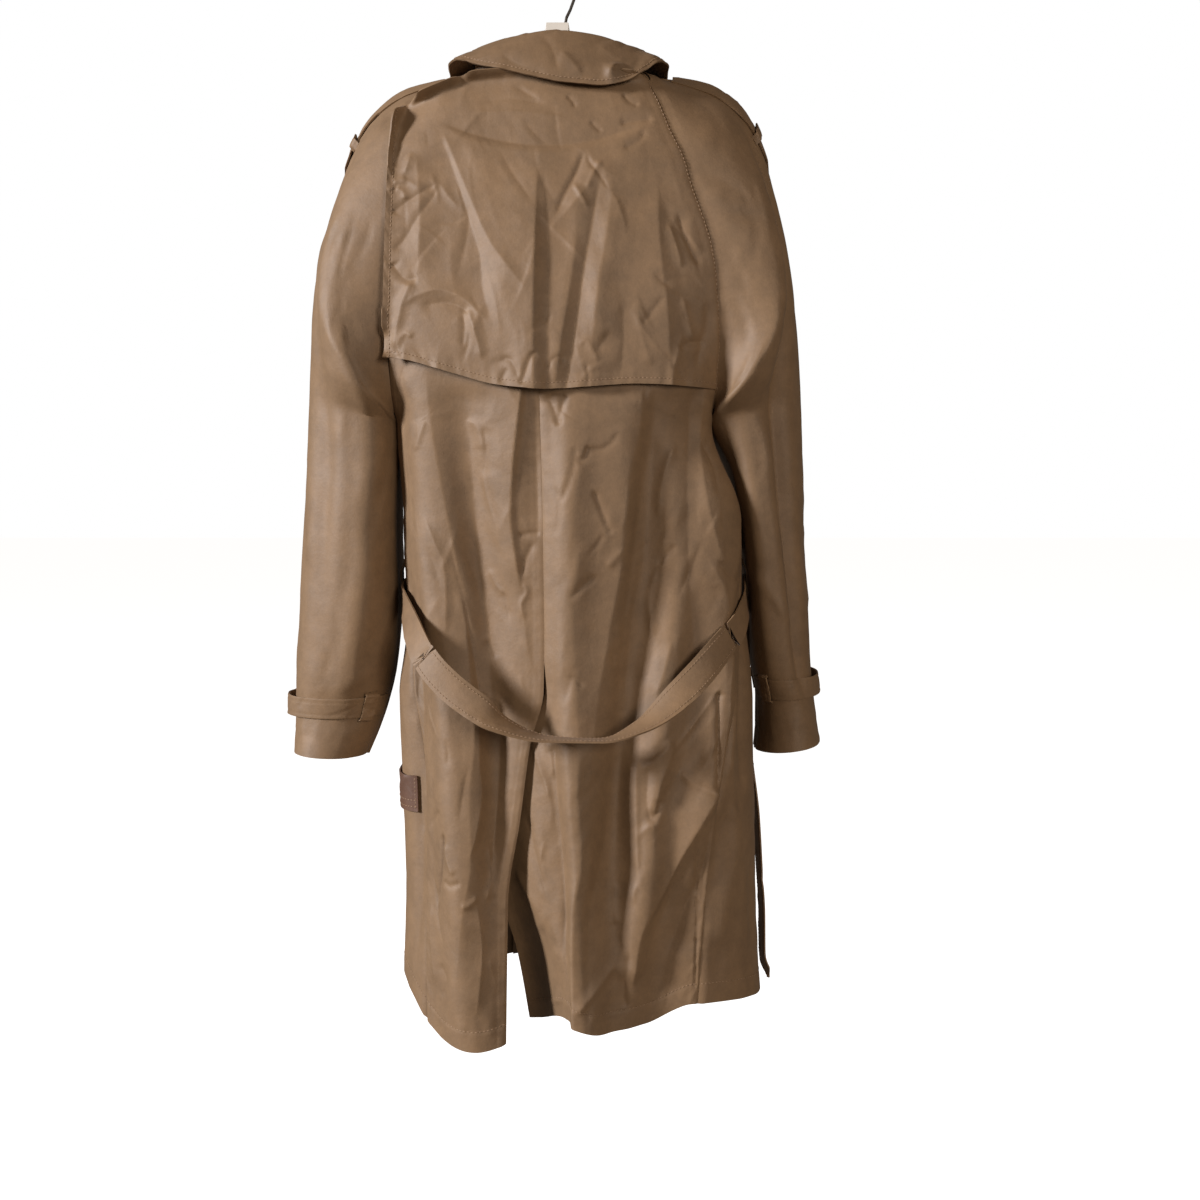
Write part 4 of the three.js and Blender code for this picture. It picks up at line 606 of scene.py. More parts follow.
BACK_CREASES = [
    (-4.6, 28, 14, 0.4, 0.05, [(446, 530), (459, 580), (469, 630), (481, 700)]),
    (1.8, 14, 8, 0.2, 0.2, [(422, 512), (434, 540), (445, 572), (446, 640)]),
    (1.4, 8, 6, 0.2, 0.2, [(426, 420), (420, 436), (413, 452)]),
    (1.6, 16, 10, 0.2, 0.2, [(462, 421), (472, 424), (478, 434), (482, 452)]),
    (-1.8, 8, 18, 0.2, 0.2, [(481, 424), (484, 450), (480, 480)]),
    (3.6, 36, 7, 0, 0.2, [(522, 388), (517, 430), (513, 470), (511, 518), (516, 562), (521, 600)]),
    (-2.4, 14, 5, 0, 0.2, [(538, 388), (537, 440), (537, 500), (538, 548)]),
    (-1.8, 5, 6, 0.1, 0.1, [(517, 536), (528, 534), (538, 533)]),
    (-1.6, 6, 8, 0.2, 0.2, [(533, 540), (524, 560), (520, 580)]),
    (1.8, 6, 6, 0.2, 0.2, [(520, 580), (526, 592), (520, 606), (524, 622)]),
    (1.5, 8, 8, 0.2, 0.2, [(486, 568), (494, 586), (504, 596)]),
    (-1.4, 8, 8, 0.2, 0.2, [(494, 660), (490, 648), (484, 640)]),
    (-2.2, 6, 8, 0.1, 0.2, [(546, 394), (553, 408), (558, 428)]),
    (-2.0, 8, 6, 0.1, 0.2, [(567, 394), (561, 410), (558, 428)]),
    (-2.0, 5, 8, 0.1, 0.1, [(588, 446), (583, 458), (576, 462)]),
    (-1.8, 6, 6, 0.15, 0.2, [(574, 444), (573, 466), (566, 490), (560, 506)]),
    (-1.4, 6, 6, 0.2, 0.2, [(586, 448), (600, 450), (612, 442), (618, 430)]),
    (-1.8, 6, 8, 0.1, 0.1, [(592, 490), (602, 514), (611, 535)]),
    (-1.6, 6, 10, 0.2, 0.2, [(568, 602), (580, 588), (598, 574)]),
    (1.4, 8, 8, 0.2, 0.2, [(606, 568), (616, 556), (622, 548)]),
    (-1.2, 6, 6, 0.2, 0.2, [(552, 484), (558, 500), (558, 520), (553, 540)]),
    (-1.3, 5, 6, 0.2, 0.2, [(570, 676), (577, 681), (582, 688)]),
    (-2.2, 20, 24, 0.1, 0.1, [(655, 430), (650, 500), (645, 560), (634, 620), (626, 700)]),
    (1.9, 9, 10, 0.2, 0.2, [(680, 440), (668, 462), (660, 490), (658, 520)]),
    (-1.7, 8, 8, 0.2, 0.2, [(678, 545), (664, 556), (657, 568)]),
    (2.0, 8, 8, 0.2, 0.2, [(657, 566), (651, 588), (649, 606), (653, 640)]),
    (1.8, 16, 10, 0.2, 0.2, [(672, 640), (664, 672), (654, 700)]),
    (2.6, 9, 18, 0.1, 0.2, [(704, 388), (700, 440), (704, 490), (713, 535), (724, 575)]),
    (-1.8, 6, 10, 0.2, 0.2, [(700, 440), (712, 470), (716, 500)]),
    (-2.0, 6, 8, 0.2, 0.1, [(716, 560), (726, 574), (737, 582)]),
    (1.5, 8, 8, 0.2, 0.2, [(708, 560), (722, 590), (726, 620)]),
    (3.8, 18, 12, 0.1, 0.3, [(478, 700), (478, 760), (481, 795), (475, 835), (466, 868)]),
    (-4.4, 20, 16, 0.1, 0.2, [(497, 690), (498, 760), (495, 830), (488, 905)]),
    (-3.0, 5, 5, 0.1, 0.2, [(442, 832), (440, 865), (434, 908)]),
    (2.0, 7, 9, 0.2, 0.2, [(488, 845), (492, 872), (486, 905)]),
    (1.8, 6, 7, 0.2, 0.2, [(444, 842), (447, 860), (454, 878)]),
    (-1.6, 6, 6, 0.2, 0.2, [(442, 880), (450, 886), (462, 882)]),
    (1.6, 6, 6, 0.2, 0.2, [(460, 908), (470, 904), (478, 896)]),
    (-1.6, 8, 8, 0.2, 0.2, [(438, 962), (446, 980), (442, 1000)]),
    (2.0, 14, 12, 0.2, 0.2, [(476, 900), (482, 950), (476, 1020)]),
    (-1.8, 6, 10, 0.2, 0.2, [(424, 832), (432, 818), (440, 812)]),
    (-1.8, 8, 8, 0.2, 0.2, [(410, 724), (416, 700), (420, 660)]),
    (2.2, 9, 9, 0.2, 0.2, [(430, 900), (431, 940), (436, 990)]),
    (2.4, 26, 22, 0.1, 0.2, [(566, 740), (571, 820), (575, 900), (570, 985)]),
    (-3.4, 12, 16, 0.05, 0.2, [(548, 742), (553, 800), (558, 860), (561, 905), (559, 962)]),
    (1.8, 5, 5, 0.2, 0.2, [(527, 735), (536, 770), (548, 806)]),
    (1.8, 6, 5, 0.2, 0.2, [(541, 735), (545, 758), (549, 782)]),
    (2.4, 9, 9, 0.2, 0.2, [(512, 868), (522, 892), (532, 912), (538, 940)]),
    (-2.2, 9, 8, 0.2, 0.2, [(520, 810), (530, 860), (544, 900)]),
    (2.2, 8, 7, 0.2, 0.1, [(550, 945), (549, 980), (553, 1008)]),
    (2.4, 16, 6, 0.1, 0.2, [(637, 758), (636, 820), (638, 876)]),
    (-1.8, 10, 10, 0.2, 0.2, [(622, 742), (618, 790), (616, 850)]),
    (2.2, 14, 9, 0.1, 0.1, [(664, 742), (672, 752), (660, 788), (656, 818)]),
    (-2.4, 7, 10, 0.1, 0.1, [(652, 824), (658, 814), (662, 800)]),
    (-3.0, 12, 14, 0.2, 0.2, [(648, 760), (646, 800), (652, 830)]),
    (5.6, 44, 12, 0, 0.1, [(716, 796), (700, 826), (682, 856), (664, 888), (650, 915), (640, 942), (633, 990)]),
    (-4.0, 14, 34, 0.1, 0.2, [(721, 806), (712, 845), (698, 882), (680, 920), (664, 965)]),
    (2.0, 8, 10, 0.1, 0, [(680, 772), (694, 784), (706, 790), (717, 795)]),
    (-1.6, 4, 4, 0.1, 0, [(697, 828), (698, 900), (696, 960), (697, 1004)]),
    (1.6, 4, 5, 0.1, 0.2, [(696, 894), (703, 904), (711, 913)]),
    (-1.4, 4, 4, 0.1, 0.2, [(695, 938), (700, 946), (705, 956)]),
    (1.8, 14, 10, 0.2, 0.1, [(614, 880), (612, 900), (618, 925)]),
    (2.4, 12, 7, 0.2, 0.1, [(616, 962), (602, 985), (586, 1005), (574, 1016)]),
    (-1.8, 8, 8, 0.2, 0.1, [(630, 950), (624, 990), (628, 1010)]),
    (-4.2, 8, 8, 0.05, 0.1, [(719, 690), (719, 750), (717, 796)]),
    (2.8, 9, 9, 0.05, 0.2, [(731, 650), (729, 720), (733, 800), (736, 862)]),
    (-4.6, 8, 8, 0.05, 0.2, [(742, 640), (741, 700), (743, 800)]),
    (2.6, 20, 10, 0.1, 0.1, [(742, 800), (738, 850), (728, 900), (718, 950)]),
    (-1.4, 6, 6, 0.2, 0.2, [(724, 812), (729, 824), (731, 840)]),
    (-1.8, 10, 10, 0.2, 0.1, [(752, 850), (752, 900), (754, 960)]),
]

SLEEVE_CREASES = [
    (4.2, 38, 18, 0.1, 0.1, [(352, 180), (354, 260), (352, 320), (354, 400), (357, 480), (361, 570), (357, 640)]),
    (-2.6, 12, 12, 0.1, 0.2, [(366, 180), (370, 280), (366, 360), (368, 430)]),
    (2.2, 7, 10, 0.1, 0.1, [(366, 434), (382, 434), (397, 441)]),
    (2.8, 12, 16, 0.1, 0.1, [(365, 442), (368, 464), (376, 494), (391, 526)]),
    (-1.6, 6, 6, 0.1, 0.1, [(376, 444), (383, 455), (390, 452), (398, 448)]),
    (-1.8, 6, 6, 0.2, 0.2, [(386, 440), (388, 462), (384, 486)]),
    (2.4, 12, 12, 0.1, 0.1, [(396, 528), (388, 560), (379, 592)]),
    (-2.0, 6, 8, 0.1, 0.1, [(362, 574), (372, 588), (379, 592)]),
    (-1.8, 6, 6, 0.2, 0.2, [(379, 592), (376, 610), (371, 650)]),
    (1.8, 7, 7, 0.2, 0.2, [(384, 596), (386, 640), (380, 690)]),
    (-2.2, 8, 12, 0.05, 0.2, [(300, 610), (316, 594), (332, 582), (350, 574)]),
    (1.6, 8, 14, 0.05, 0.2, [(300, 600), (318, 584), (345, 556)]),
    (-1.8, 6, 8, 0.1, 0.1, [(324, 606), (334, 616), (341, 632), (341, 650)]),
    (1.8, 10, 8, 0.1, 0.2, [(318, 602), (310, 616), (304, 640)]),
    (-1.8, 8, 8, 0.1, 0.2, [(306, 652), (314, 660), (326, 664)]),
    (2.0, 9, 9, 0.1, 0.1, [(336, 640), (337, 662), (334, 690)]),
    (-1.2, 14, 14, 0.2, 0.2, [(334, 300), (336, 360), (330, 430), (326, 500)]),
    (-1.2, 8, 8, 0.2, 0.2, [(312, 470), (316, 520), (312, 570)]),
    (-9.0, 7, 12, 0.02, 0.2, [(744, 184), (748, 240), (755, 300), (763, 380), (767, 440), (769, 494)]),
    (2.6, 26, 8, 0.05, 0.2, [(737, 190), (741, 240), (747, 300), (755, 380), (761, 440)]),
    (-1.8, 6, 8, 0.2, 0.2, [(729, 214), (733, 200), (738, 188)]),
    (1.6, 14, 14, 0.2, 0.2, [(718, 260), (724, 320), (720, 380)]),
    (-2.2, 8, 14, 0.2, 0.2, [(738, 358), (740, 380), (746, 400)]),
    (-1.8, 8, 8, 0.2, 0.2, [(728, 416), (740, 430), (752, 452)]),
    (2.4, 8, 7, 0.1, 0.1, [(734, 430), (746, 456), (758, 474), (766, 500)]),
    (-2.2, 8, 8, 0.1, 0.1, [(750, 470), (748, 500), (752, 520)]),
    (2.8, 12, 9, 0.05, 0.1, [(773, 508), (764, 530), (756, 560), (750, 594)]),
    (-2.6, 8, 9, 0.1, 0.1, [(748, 552), (754, 546), (762, 540)]),
    (-8.0, 7, 12, 0.05, 0.05, [(774, 512), (779, 540), (782, 580), (784, 620), (780, 640)]),
    (2.2, 9, 7, 0.1, 0.1, [(776, 648), (786, 648), (796, 656)]),
    (-2.0, 8, 8, 0.2, 0.2, [(756, 640), (762, 690), (758, 740)]),
    (2.0, 9, 9, 0.2, 0.2, [(768, 660), (776, 700), (770, 742)]),
    (-1.6, 6, 6, 0.2, 0.2, [(752, 650), (760, 670), (772, 682)]),
    (1.8, 12, 8, 0.2, 0.2, [(790, 664), (798, 690), (806, 716)]),
    (-1.2, 9, 9, 0.2, 0.2, [(766, 256), (772, 320), (776, 380)]),
    (1.4, 7, 7, 0.2, 0.2, [(380, 150), (386, 140), (392, 128)]),
    (-2.2, 8, 8, 0.1, 0.2, [(378, 150), (379, 200), (380, 280)]),
    (1.4, 10, 10, 0.2, 0.2, [(700, 116), (722, 146), (732, 180)]),
]


def path_through(path, steps=6):
    """A smooth line through a crease's points."""
    points = np.array(path, float)
    padded = np.concatenate([[2 * points[0] - points[1]], points, [2 * points[-1] - points[-2]]])
    t = np.linspace(0, 1, steps, endpoint=False)[:, None]
    spans = [0.5 * (2 * b + (c - a) * t + (2 * a - 5 * b + 4 * c - d) * t ** 2 + (3 * b - a - 3 * c + d) * t ** 3)
             for a, b, c, d in zip(padded, padded[1:], padded[2:], padded[3:])]
    return np.concatenate([*spans, points[-1:]])


def crease_shape(here, line, left, right, fade_in, fade_out):
    """Share of a crease's rise at places in the photograph's frame."""
    lengths = np.linalg.norm(np.diff(line, axis=0), axis=1)
    reached = np.concatenate([[0], np.cumsum(lengths)])
    nearest = np.full(len(here), 1e9)
    off = np.zeros(len(here))
    along = np.zeros(len(here))
    for k, length in enumerate(lengths):
        ahead = (line[k + 1] - line[k]) / length
        rel = here - line[k]
        t = np.clip(rel @ ahead, 0, length)
        distance = np.linalg.norm(rel - t[:, None] * ahead, axis=-1)
        closer = distance < nearest
        nearest = np.where(closer, distance, nearest)
        off = np.where(closer, rel[:, 0] * ahead[1] - rel[:, 1] * ahead[0], off)
        along = np.where(closer, reached[k] + t, along)
    share = along / reached[-1]
    taper = np.ones(len(here))
    if fade_in:
        taper = taper * smooth(share / fade_in)
    if fade_out:
        taper = taper * smooth((1 - share) / fade_out)
    width = np.where(off < 0, left, right) * (0.4 + 0.6 * taper)
    return taper * flank(nearest, width)


def crease_lift(points, normals, creases):
    """Height that a list of creases adds at points that face the camera."""
    px, py = photo_place(points)
    seen = facing_camera(points, normals)
    lift = np.zeros(px.shape)
    for rise, left, right, fade_in, fade_out, path in creases:
        line = path_through(path)
        low, high = line.min(0) - max(left, right), line.max(0) + max(left, right)
        near = (seen > 0) & (px > low[0]) & (px < high[0]) & (py > low[1]) & (py < high[1])
        if near.any():
            here = np.stack([px[near], py[near]], -1)
            lift[near] += rise * crease_shape(here, line, left, right, fade_in, fade_out)
    return lift * seen


def planes_lift(points, normals, planes):
    """Height of the broad folds at points that face the camera."""
    px, py = photo_place(points)
    xs = [curve(planes["y"], line["x"], py) for line in planes["lines"]]
    rises = [curve(planes["y"], line["rise"], py) for line in planes["lines"]]
    lift = np.where(px < xs[0], rises[0], rises[-1])
    for low_x, high_x, low, high in zip(xs, xs[1:], rises, rises[1:]):
        t = (px - low_x) / (high_x - low_x)
        t = mix(t, smooth(t), PLANE_ROUNDING)
        lift = np.where((px >= low_x) & (px < high_x), mix(low, high, t), lift)
    return lift * smooth((py - PLANES_BELOW) / (PLANES_FULL - PLANES_BELOW)) * facing_camera(points, normals)


# Sheets of cloth


def grid_normals(points, sign):
    down = np.gradient(points, axis=0)
    along = np.gradient(points, axis=1)
    return unit(np.cross(down, along)) * sign


def lay_sheet(grid, at, outwards):
    """Grid of a piece's outer face: at(i, u) takes shares down and across it, outwards gives the way out."""
    rows, columns = grid
    i, u = np.meshgrid(np.linspace(0, 1, rows + 1), np.linspace(0, 1, columns + 1), indexing="ij")
    points = at(i, u)
    normals = grid_normals(points, 1.0)
    middle = (rows // 2, columns // 2)
    away = outwards(points[middle])
    sign = 1.0 if normals[middle] @ away >= 0 else -1.0
    return {"points": points, "normals": normals * sign, "sign": sign}


def cloth_place(points):
    """Millimetres across and down the cloth at each point of a grid."""
    across = np.concatenate([np.zeros((points.shape[0], 1)),
                             np.cumsum(np.linalg.norm(np.diff(points, axis=1), axis=-1), axis=1)], 1)
    down = np.concatenate([np.zeros((1, points.shape[1])),
                           np.cumsum(np.linalg.norm(np.diff(points, axis=0), axis=-1), axis=0)], 0)
    middle = across[:, -1:] / 2
    return across - middle, down


def raise_sheet(sheet, height):
    sheet["points"] = sheet["points"] + sheet["normals"] * height[..., None]
    sheet["normals"] = grid_normals(sheet["points"], sheet["sign"])
    return sheet


def make_piece(name, sheet, wall, material):
    """Closed shell between a sheet and its inner face, which has half as many rows and columns."""
    points, normals, sign = sheet["points"], sheet["normals"], sheet["sign"]
    outer_index = np.arange(points.shape[0] * points.shape[1]).reshape(points.shape[:2])
    inner = (points - normals * wall)[::2, ::2]
    inner_index = outer_index.size + np.arange(inner.shape[0] * inner.shape[1]).reshape(inner.shape[:2])
    vertices = np.concatenate([points.reshape(-1, 3), inner.reshape(-1, 3)]) * MM

    def quads(index):
        return np.stack([index[:-1, :-1], index[1:, :-1], index[1:, 1:], index[:-1, 1:]], -1).reshape(-1, 4)

    faces = [*quads(outer_index), *quads(inner_index)[:, ::-1]]
    for place, forward in (((slice(None), 0), True), ((slice(None), -1), False),
                           ((0, slice(None)), False), ((-1, slice(None)), True)):
        edge, under = outer_index[place], inner_index[place]
        rim = np.stack([edge[:-2:2], under[:-1], under[1:], edge[2::2], edge[1:-1:2]], -1)
        faces.extend(rim if forward else rim[:, ::-1])
    mesh = bpy.data.meshes.new(name)
    mesh.from_pydata(vertices.tolist(), [], [(face if sign > 0 else face[::-1]).tolist() for face in faces])
    across, down = cloth_place(points)
    place = np.stack([across, down], -1) * MM
    both = np.concatenate([place.reshape(-1, 2), place[::2, ::2].reshape(-1, 2)])
    loops = np.empty(len(mesh.loops), np.int32)
    mesh.loops.foreach_get("vertex_index", loops)
    mesh.uv_layers.new(name="cloth").data.foreach_set("uv", both[loops].astype(np.float32).ravel())
    mesh.shade_smooth()
    mesh.set_sharp_from_angle(angle=math.radians(60))
    mesh.materials.append(material)
    piece = bpy.data.objects.new(name, mesh)
    bpy.context.scene.collection.objects.link(piece)
    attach(piece, "root")
    return piece


# Materials


def srgb(r, g, b):
    def channel(value):
        value /= 255
        return value / 12.92 if value <= 0.04045 else ((value + 0.055) / 1.055) ** 2.4

    return channel(r), channel(g), channel(b), 1.0


def node_material(name):
    material = bpy.data.materials.new(name)
    material.use_nodes = True
    nodes, links = material.node_tree.nodes, material.node_tree.links
    return material, nodes, links, nodes["Principled BSDF"]


def cloth_material(name, colour, rough=0.62, shine=0.6, seed=0.0):
    """Thin closely woven rainwear cloth: fine plain weave, faint mottling and a soft sheen."""
    material, nodes, links, shader = node_material(name)
    shader.inputs["Roughness"].default_value = rough
    shader.inputs["Specular IOR Level"].default_value = shine
    shader.inputs["Sheen Weight"].default_value = 0.04
    shader.inputs["Sheen Roughness"].default_value = 0.4
    shader.inputs["Sheen Tint"].default_value = (1.0, 0.86, 0.8, 1.0)
    place = nodes.new("ShaderNodeTexCoord")
    mottle = nodes.new("ShaderNodeTexNoise")
    mottle.inputs["Scale"].default_value = 26.0
    mottle.inputs["Detail"].default_value = 8.0
    mottle.inputs["Roughness"].default_value = 0.82
    shift = nodes.new("ShaderNodeMapping")
    shift.inputs["Location"].default_value = (seed, seed * 2, 0.0)
    links.new(place.outputs["Object"], shift.inputs["Vector"])
    links.new(shift.outputs["Vector"], mottle.inputs["Vector"])
    ramp = nodes.new("ShaderNodeValToRGB")
    ramp.color_ramp.elements[0].position = 0.3
    ramp.color_ramp.elements[1].position = 0.72
    ramp.color_ramp.elements[0].color = tuple(c * 0.78 for c in colour[:3]) + (1.0,)
    ramp.color_ramp.elements[1].color = tuple(min(1.0, c * 1.2) for c in colour[:3]) + (1.0,)
    links.new(mottle.outputs["Fac"], ramp.inputs["Fac"])
    links.new(ramp.outputs["Color"], shader.inputs["Base Color"])

    threads = nodes.new("ShaderNodeTexWave")
    threads.wave_type = "BANDS"
    threads.bands_direction = "X"
    threads.inputs["Scale"].default_value = 420.0
    threads.inputs["Distortion"].default_value = 0.6
    picks = nodes.new("ShaderNodeTexWave")
    picks.wave_type = "BANDS"
    picks.bands_direction = "Y"
    picks.inputs["Scale"].default_value = 420.0
    picks.inputs["Distortion"].default_value = 0.6
    links.new(place.outputs["UV"], threads.inputs["Vector"])
    links.new(place.outputs["UV"], picks.inputs["Vector"])
    weave = nodes.new("ShaderNodeMath")
    weave.operation = "MULTIPLY"
    links.new(threads.outputs["Fac"], weave.inputs[0])
    links.new(picks.outputs["Fac"], weave.inputs[1])
    handle = nodes.new("ShaderNodeTexNoise")
    handle.inputs["Scale"].default_value = 150.0
    handle.inputs["Detail"].default_value = 5.0
    handle.inputs["Roughness"].default_value = 0.7
    links.new(shift.outputs["Vector"], handle.inputs["Vector"])
    weave_bump = nodes.new("ShaderNodeBump")
    weave_bump.inputs["Strength"].default_value = 0.12
    weave_bump.inputs["Distance"].default_value = 0.0002
    links.new(weave.outputs["Value"], weave_bump.inputs["Height"])
    soft_bump = nodes.new("ShaderNodeBump")
    soft_bump.inputs["Strength"].default_value = 0.5
    soft_bump.inputs["Distance"].default_value = 0.0008
    links.new(handle.outputs["Fac"], soft_bump.inputs["Height"])
    links.new(weave_bump.outputs["Normal"], soft_bump.inputs["Normal"])
    links.new(soft_bump.outputs["Normal"], shader.inputs["Normal"])
    return material


def plain_material(name, colour, rough, metallic=0.0, grain=60.0, depth=0.0004):
    """Moulded or metal finish with a faint uneven surface."""
    material, nodes, links, shader = node_material(name)
    shader.inputs["Roughness"].default_value = rough
    shader.inputs["Metallic"].default_value = metallic
    place = nodes.new("ShaderNodeTexCoord")
    spots = nodes.new("ShaderNodeTexNoise")
    spots.inputs["Scale"].default_value = grain
    spots.inputs["Detail"].default_value = 4.0
    links.new(place.outputs["Object"], spots.inputs["Vector"])
    ramp = nodes.new("ShaderNodeValToRGB")
    ramp.color_ramp.elements[0].color = tuple(c * 0.86 for c in colour[:3]) + (1.0,)
    ramp.color_ramp.elements[1].color = tuple(min(1.0, c * 1.06) for c in colour[:3]) + (1.0,)
    links.new(spots.outputs["Fac"], ramp.inputs["Fac"])
    links.new(ramp.outputs["Color"], shader.inputs["Base Color"])
    bump = nodes.new("ShaderNodeBump")
    bump.inputs["Strength"].default_value = 0.3
    bump.inputs["Distance"].default_value = depth
    links.new(spots.outputs["Fac"], bump.inputs["Height"])
    links.new(bump.outputs["Normal"], shader.inputs["Normal"])
    return material


COAT = cloth_material("coat_cloth", srgb(125, 99, 71))
COLLAR_CLOTH = cloth_material("collar_cloth", srgb(116, 91, 64), seed=3.0)
BAND_CLOTH = cloth_material("pocket_band_cloth", srgb(92, 62, 44), seed=5.0)
BUTTON_HORN = plain_material("button_horn", srgb(72, 50, 34), 0.3, grain=180.0)
HANGER_PLASTIC = plain_material("hanger_plastic", srgb(214, 208, 198), 0.42)
THREAD = plain_material("thread", srgb(150, 122, 96), 0.55, grain=900.0)
HOOK_STEEL = plain_material("hook_steel", srgb(120, 116, 110), 0.32, metallic=1.0, grain=300.0, depth=0.0001)


# Camera, light and stage


def set_camera():
    data = bpy.data.cameras.new("camera")
    data.sensor_width = 36.0
    data.lens = 36.0 * LENS_PX / PHOTO
    camera = bpy.data.objects.new("camera", data)
    camera.location = Vector(CAMERA_AT * MM)
    camera.rotation_euler = (math.pi / 2 - CAMERA_PITCH, 0.0, 0.0)
    bpy.context.scene.collection.objects.link(camera)
    bpy.context.scene.camera = camera


def add_light(name, place, target, size, power, colour):
    data = bpy.data.lights.new(name, "AREA")
    data.shape = "RECTANGLE"
    data.size, data.size_y = size
    data.energy = power
    data.color = colour
    light = bpy.data.objects.new(name, data)
    light.location = place
    light.rotation_euler = (Vector(target) - Vector(place)).to_track_quat("-Z", "Y").to_euler()
    bpy.context.scene.collection.objects.link(light)


def set_world():
    """White behind the coat, and a dim warm light from all round on it."""
    world = bpy.context.scene.world or bpy.data.worlds.new("world")
    bpy.context.scene.world = world
    world.use_nodes = True
    nodes, links = world.node_tree.nodes, world.node_tree.links
    dim = nodes["Background"]
    dim.inputs["Color"].default_value = (1.0, 0.84, 0.7, 1.0)
    dim.inputs["Strength"].default_value = 0.13
    white = nodes.new("ShaderNodeBackground")
    white.inputs["Color"].default_value = (1.0, 1.0, 1.0, 1.0)
    white.inputs["Strength"].default_value = 1.0
    path = nodes.new("ShaderNodeLightPath")
    both = nodes.new("ShaderNodeMixShader")
    links.new(path.outputs["Is Camera Ray"], both.inputs["Fac"])
    links.new(dim.outputs["Background"], both.inputs[1])
    links.new(white.outputs["Background"], both.inputs[2])
    links.new(both.outputs["Shader"], nodes["World Output"].inputs["Surface"])


def set_stage():
    half, floor_z = 30.0, -1.9
    mesh = bpy.data.meshes.new("floor")
    corners = [(-half, -half, floor_z), (half, -half, floor_z), (half, half, floor_z), (-half, half, floor_z)]
    mesh.from_pydata(corners, [], [(0, 1, 2, 3)])
    paint, nodes, links, shader = node_material("floor_paint")
    shader.inputs["Base Color"].default_value = (0.8, 0.8, 0.8, 1.0)
    shader.inputs["Roughness"].default_value = 1.0
    shader.inputs["Specular IOR Level"].default_value = 0.0
    shader.inputs["Emission Color"].default_value = (1.0, 1.0, 1.0, 1.0)
    shader.inputs["Emission Strength"].default_value = 0.9
    mesh.materials.append(paint)
    floor = bpy.data.objects.new("floor", mesh)
    floor.visible_diffuse = False
    floor.visible_glossy = False
    bpy.context.scene.collection.objects.link(floor)
    add_light("window", (-5.4, -2.5, 1.3), (0.0, 0.0, -0.55), (0.9, 1.5), 560, (1.0, 0.98, 1.0))
    add_light("room", (2.6, -5.0, 0.6), (0.0, 0.0, -0.7), (1.4, 2.0), 120, (1.0, 0.88, 0.76))
    bpy.context.scene.view_settings.view_transform = "Standard"


set_camera()
set_world()
set_stage()


# Panels of body and sleeves


def edge_distances(points):
    """Millimetres from each point of a grid to its low, high, top and bottom edges."""
    across = np.linalg.norm(np.diff(points, axis=1), axis=-1)
    from_low = np.concatenate([np.zeros((points.shape[0], 1)), np.cumsum(across, 1)], 1)
    down = np.linalg.norm(np.diff(points, axis=0), axis=-1)
    from_top = np.concatenate([np.zeros((1, points.shape[1])), np.cumsum(down, 0)], 0)
    return {
        "low": from_low,
        "high": from_low[:, -1:] - from_low,
        "top": from_top,
        "bottom": from_top[-1:, :] - from_top,
    }


def seam_relief(distance, along, seed, pucker=0.5):
    """A sewn seam: a fine groove, the turning's edge under the cloth, and the puckers it draws."""
    groove = -0.7 * np.exp(-((distance / 1.4) ** 2))
    turning = 0.35 * smooth((11 - distance) / 3) * smooth(distance / 3)
    pull = pucker * noise(along / 11, distance / 60 + 7, seed) * np.exp(-((distance / 13) ** 2)) * smooth(distance / 5)
    return groove + turning + pull


def hem_relief(distance, along, seed, turned=24.0, pucker=0.6):
    """A turned and topstitched edge: its double band, the stitched line and short puckers."""
    band = 0.45 * smooth((turned - distance) / 2.5)
    line = -0.55 * np.exp(-(((distance - turned + 3) / 1.5) ** 2))
    pull = pucker * noise(along / 9, distance / 50 + 3, seed) * np.exp(-(((distance - turned + 3) / 11) ** 2))
    wave = 1.6 * noise(along / 55, 0.5 + 0 * distance, seed + 1) * np.exp(-distance / 30)
    return band + line + pull + wave


def panel_height(sheet, seed, creases, sewn, hems=(), planes=None, amount=1.0, fine=1.0, count=60, scale=1.0,
                 spread=24.0):
    """All the small relief of one piece: waves, strewn creases, the listed ones, seams and hems."""
    points, normals = sheet["points"], sheet["normals"]
    across, down = cloth_place(points)
    distances = edge_distances(points)
    held = np.ones(across.shape)
    close = np.ones(across.shape)
    for edge in sewn:
        held = held * smooth(distances[edge] / 24)
        close = close * smooth(distances[edge] / 6)
    height = (crumple(across, down, seed, amount, fine)
              + scatter_creases(across, down, seed + 9, count, 0.0, spread, scale)) * held
    height = height + crease_lift(points, normals, creases) * close
    if planes:
        height = height + planes_lift(points, normals, planes) * smooth(distances["high"] / 24)
    for edge in sewn:
        along = across if edge in ("top", "bottom") else down
        height = height + seam_relief(distances[edge], along, seed + 11)
    for edge, turned in hems:
        along = across if edge in ("top", "bottom") else down
        height = height + hem_relief(distances[edge], along, seed + 13, turned) * close
    return height


def from_axis(point):
    return np.array([point[0], point[1], 0.0])


def tree_of(*sheets):
    """Faces of several grids, to find by ray."""
    vertices, faces = [], []
    for sheet in sheets:
        points = sheet["points"]
        rows, wide = points.shape[:2]
        index = np.arange(rows * wide).reshape(rows, wide) + len(vertices)
        quads = np.stack([index[:-1, :-1], index[1:, :-1], index[1:, 1:], index[:-1, 1:]], -1)
        vertices.extend(points.reshape(-1, 3).tolist())
        faces.extend(quads.reshape(-1, 4).tolist())
    return BVHTree.FromPolygons(vertices, faces)


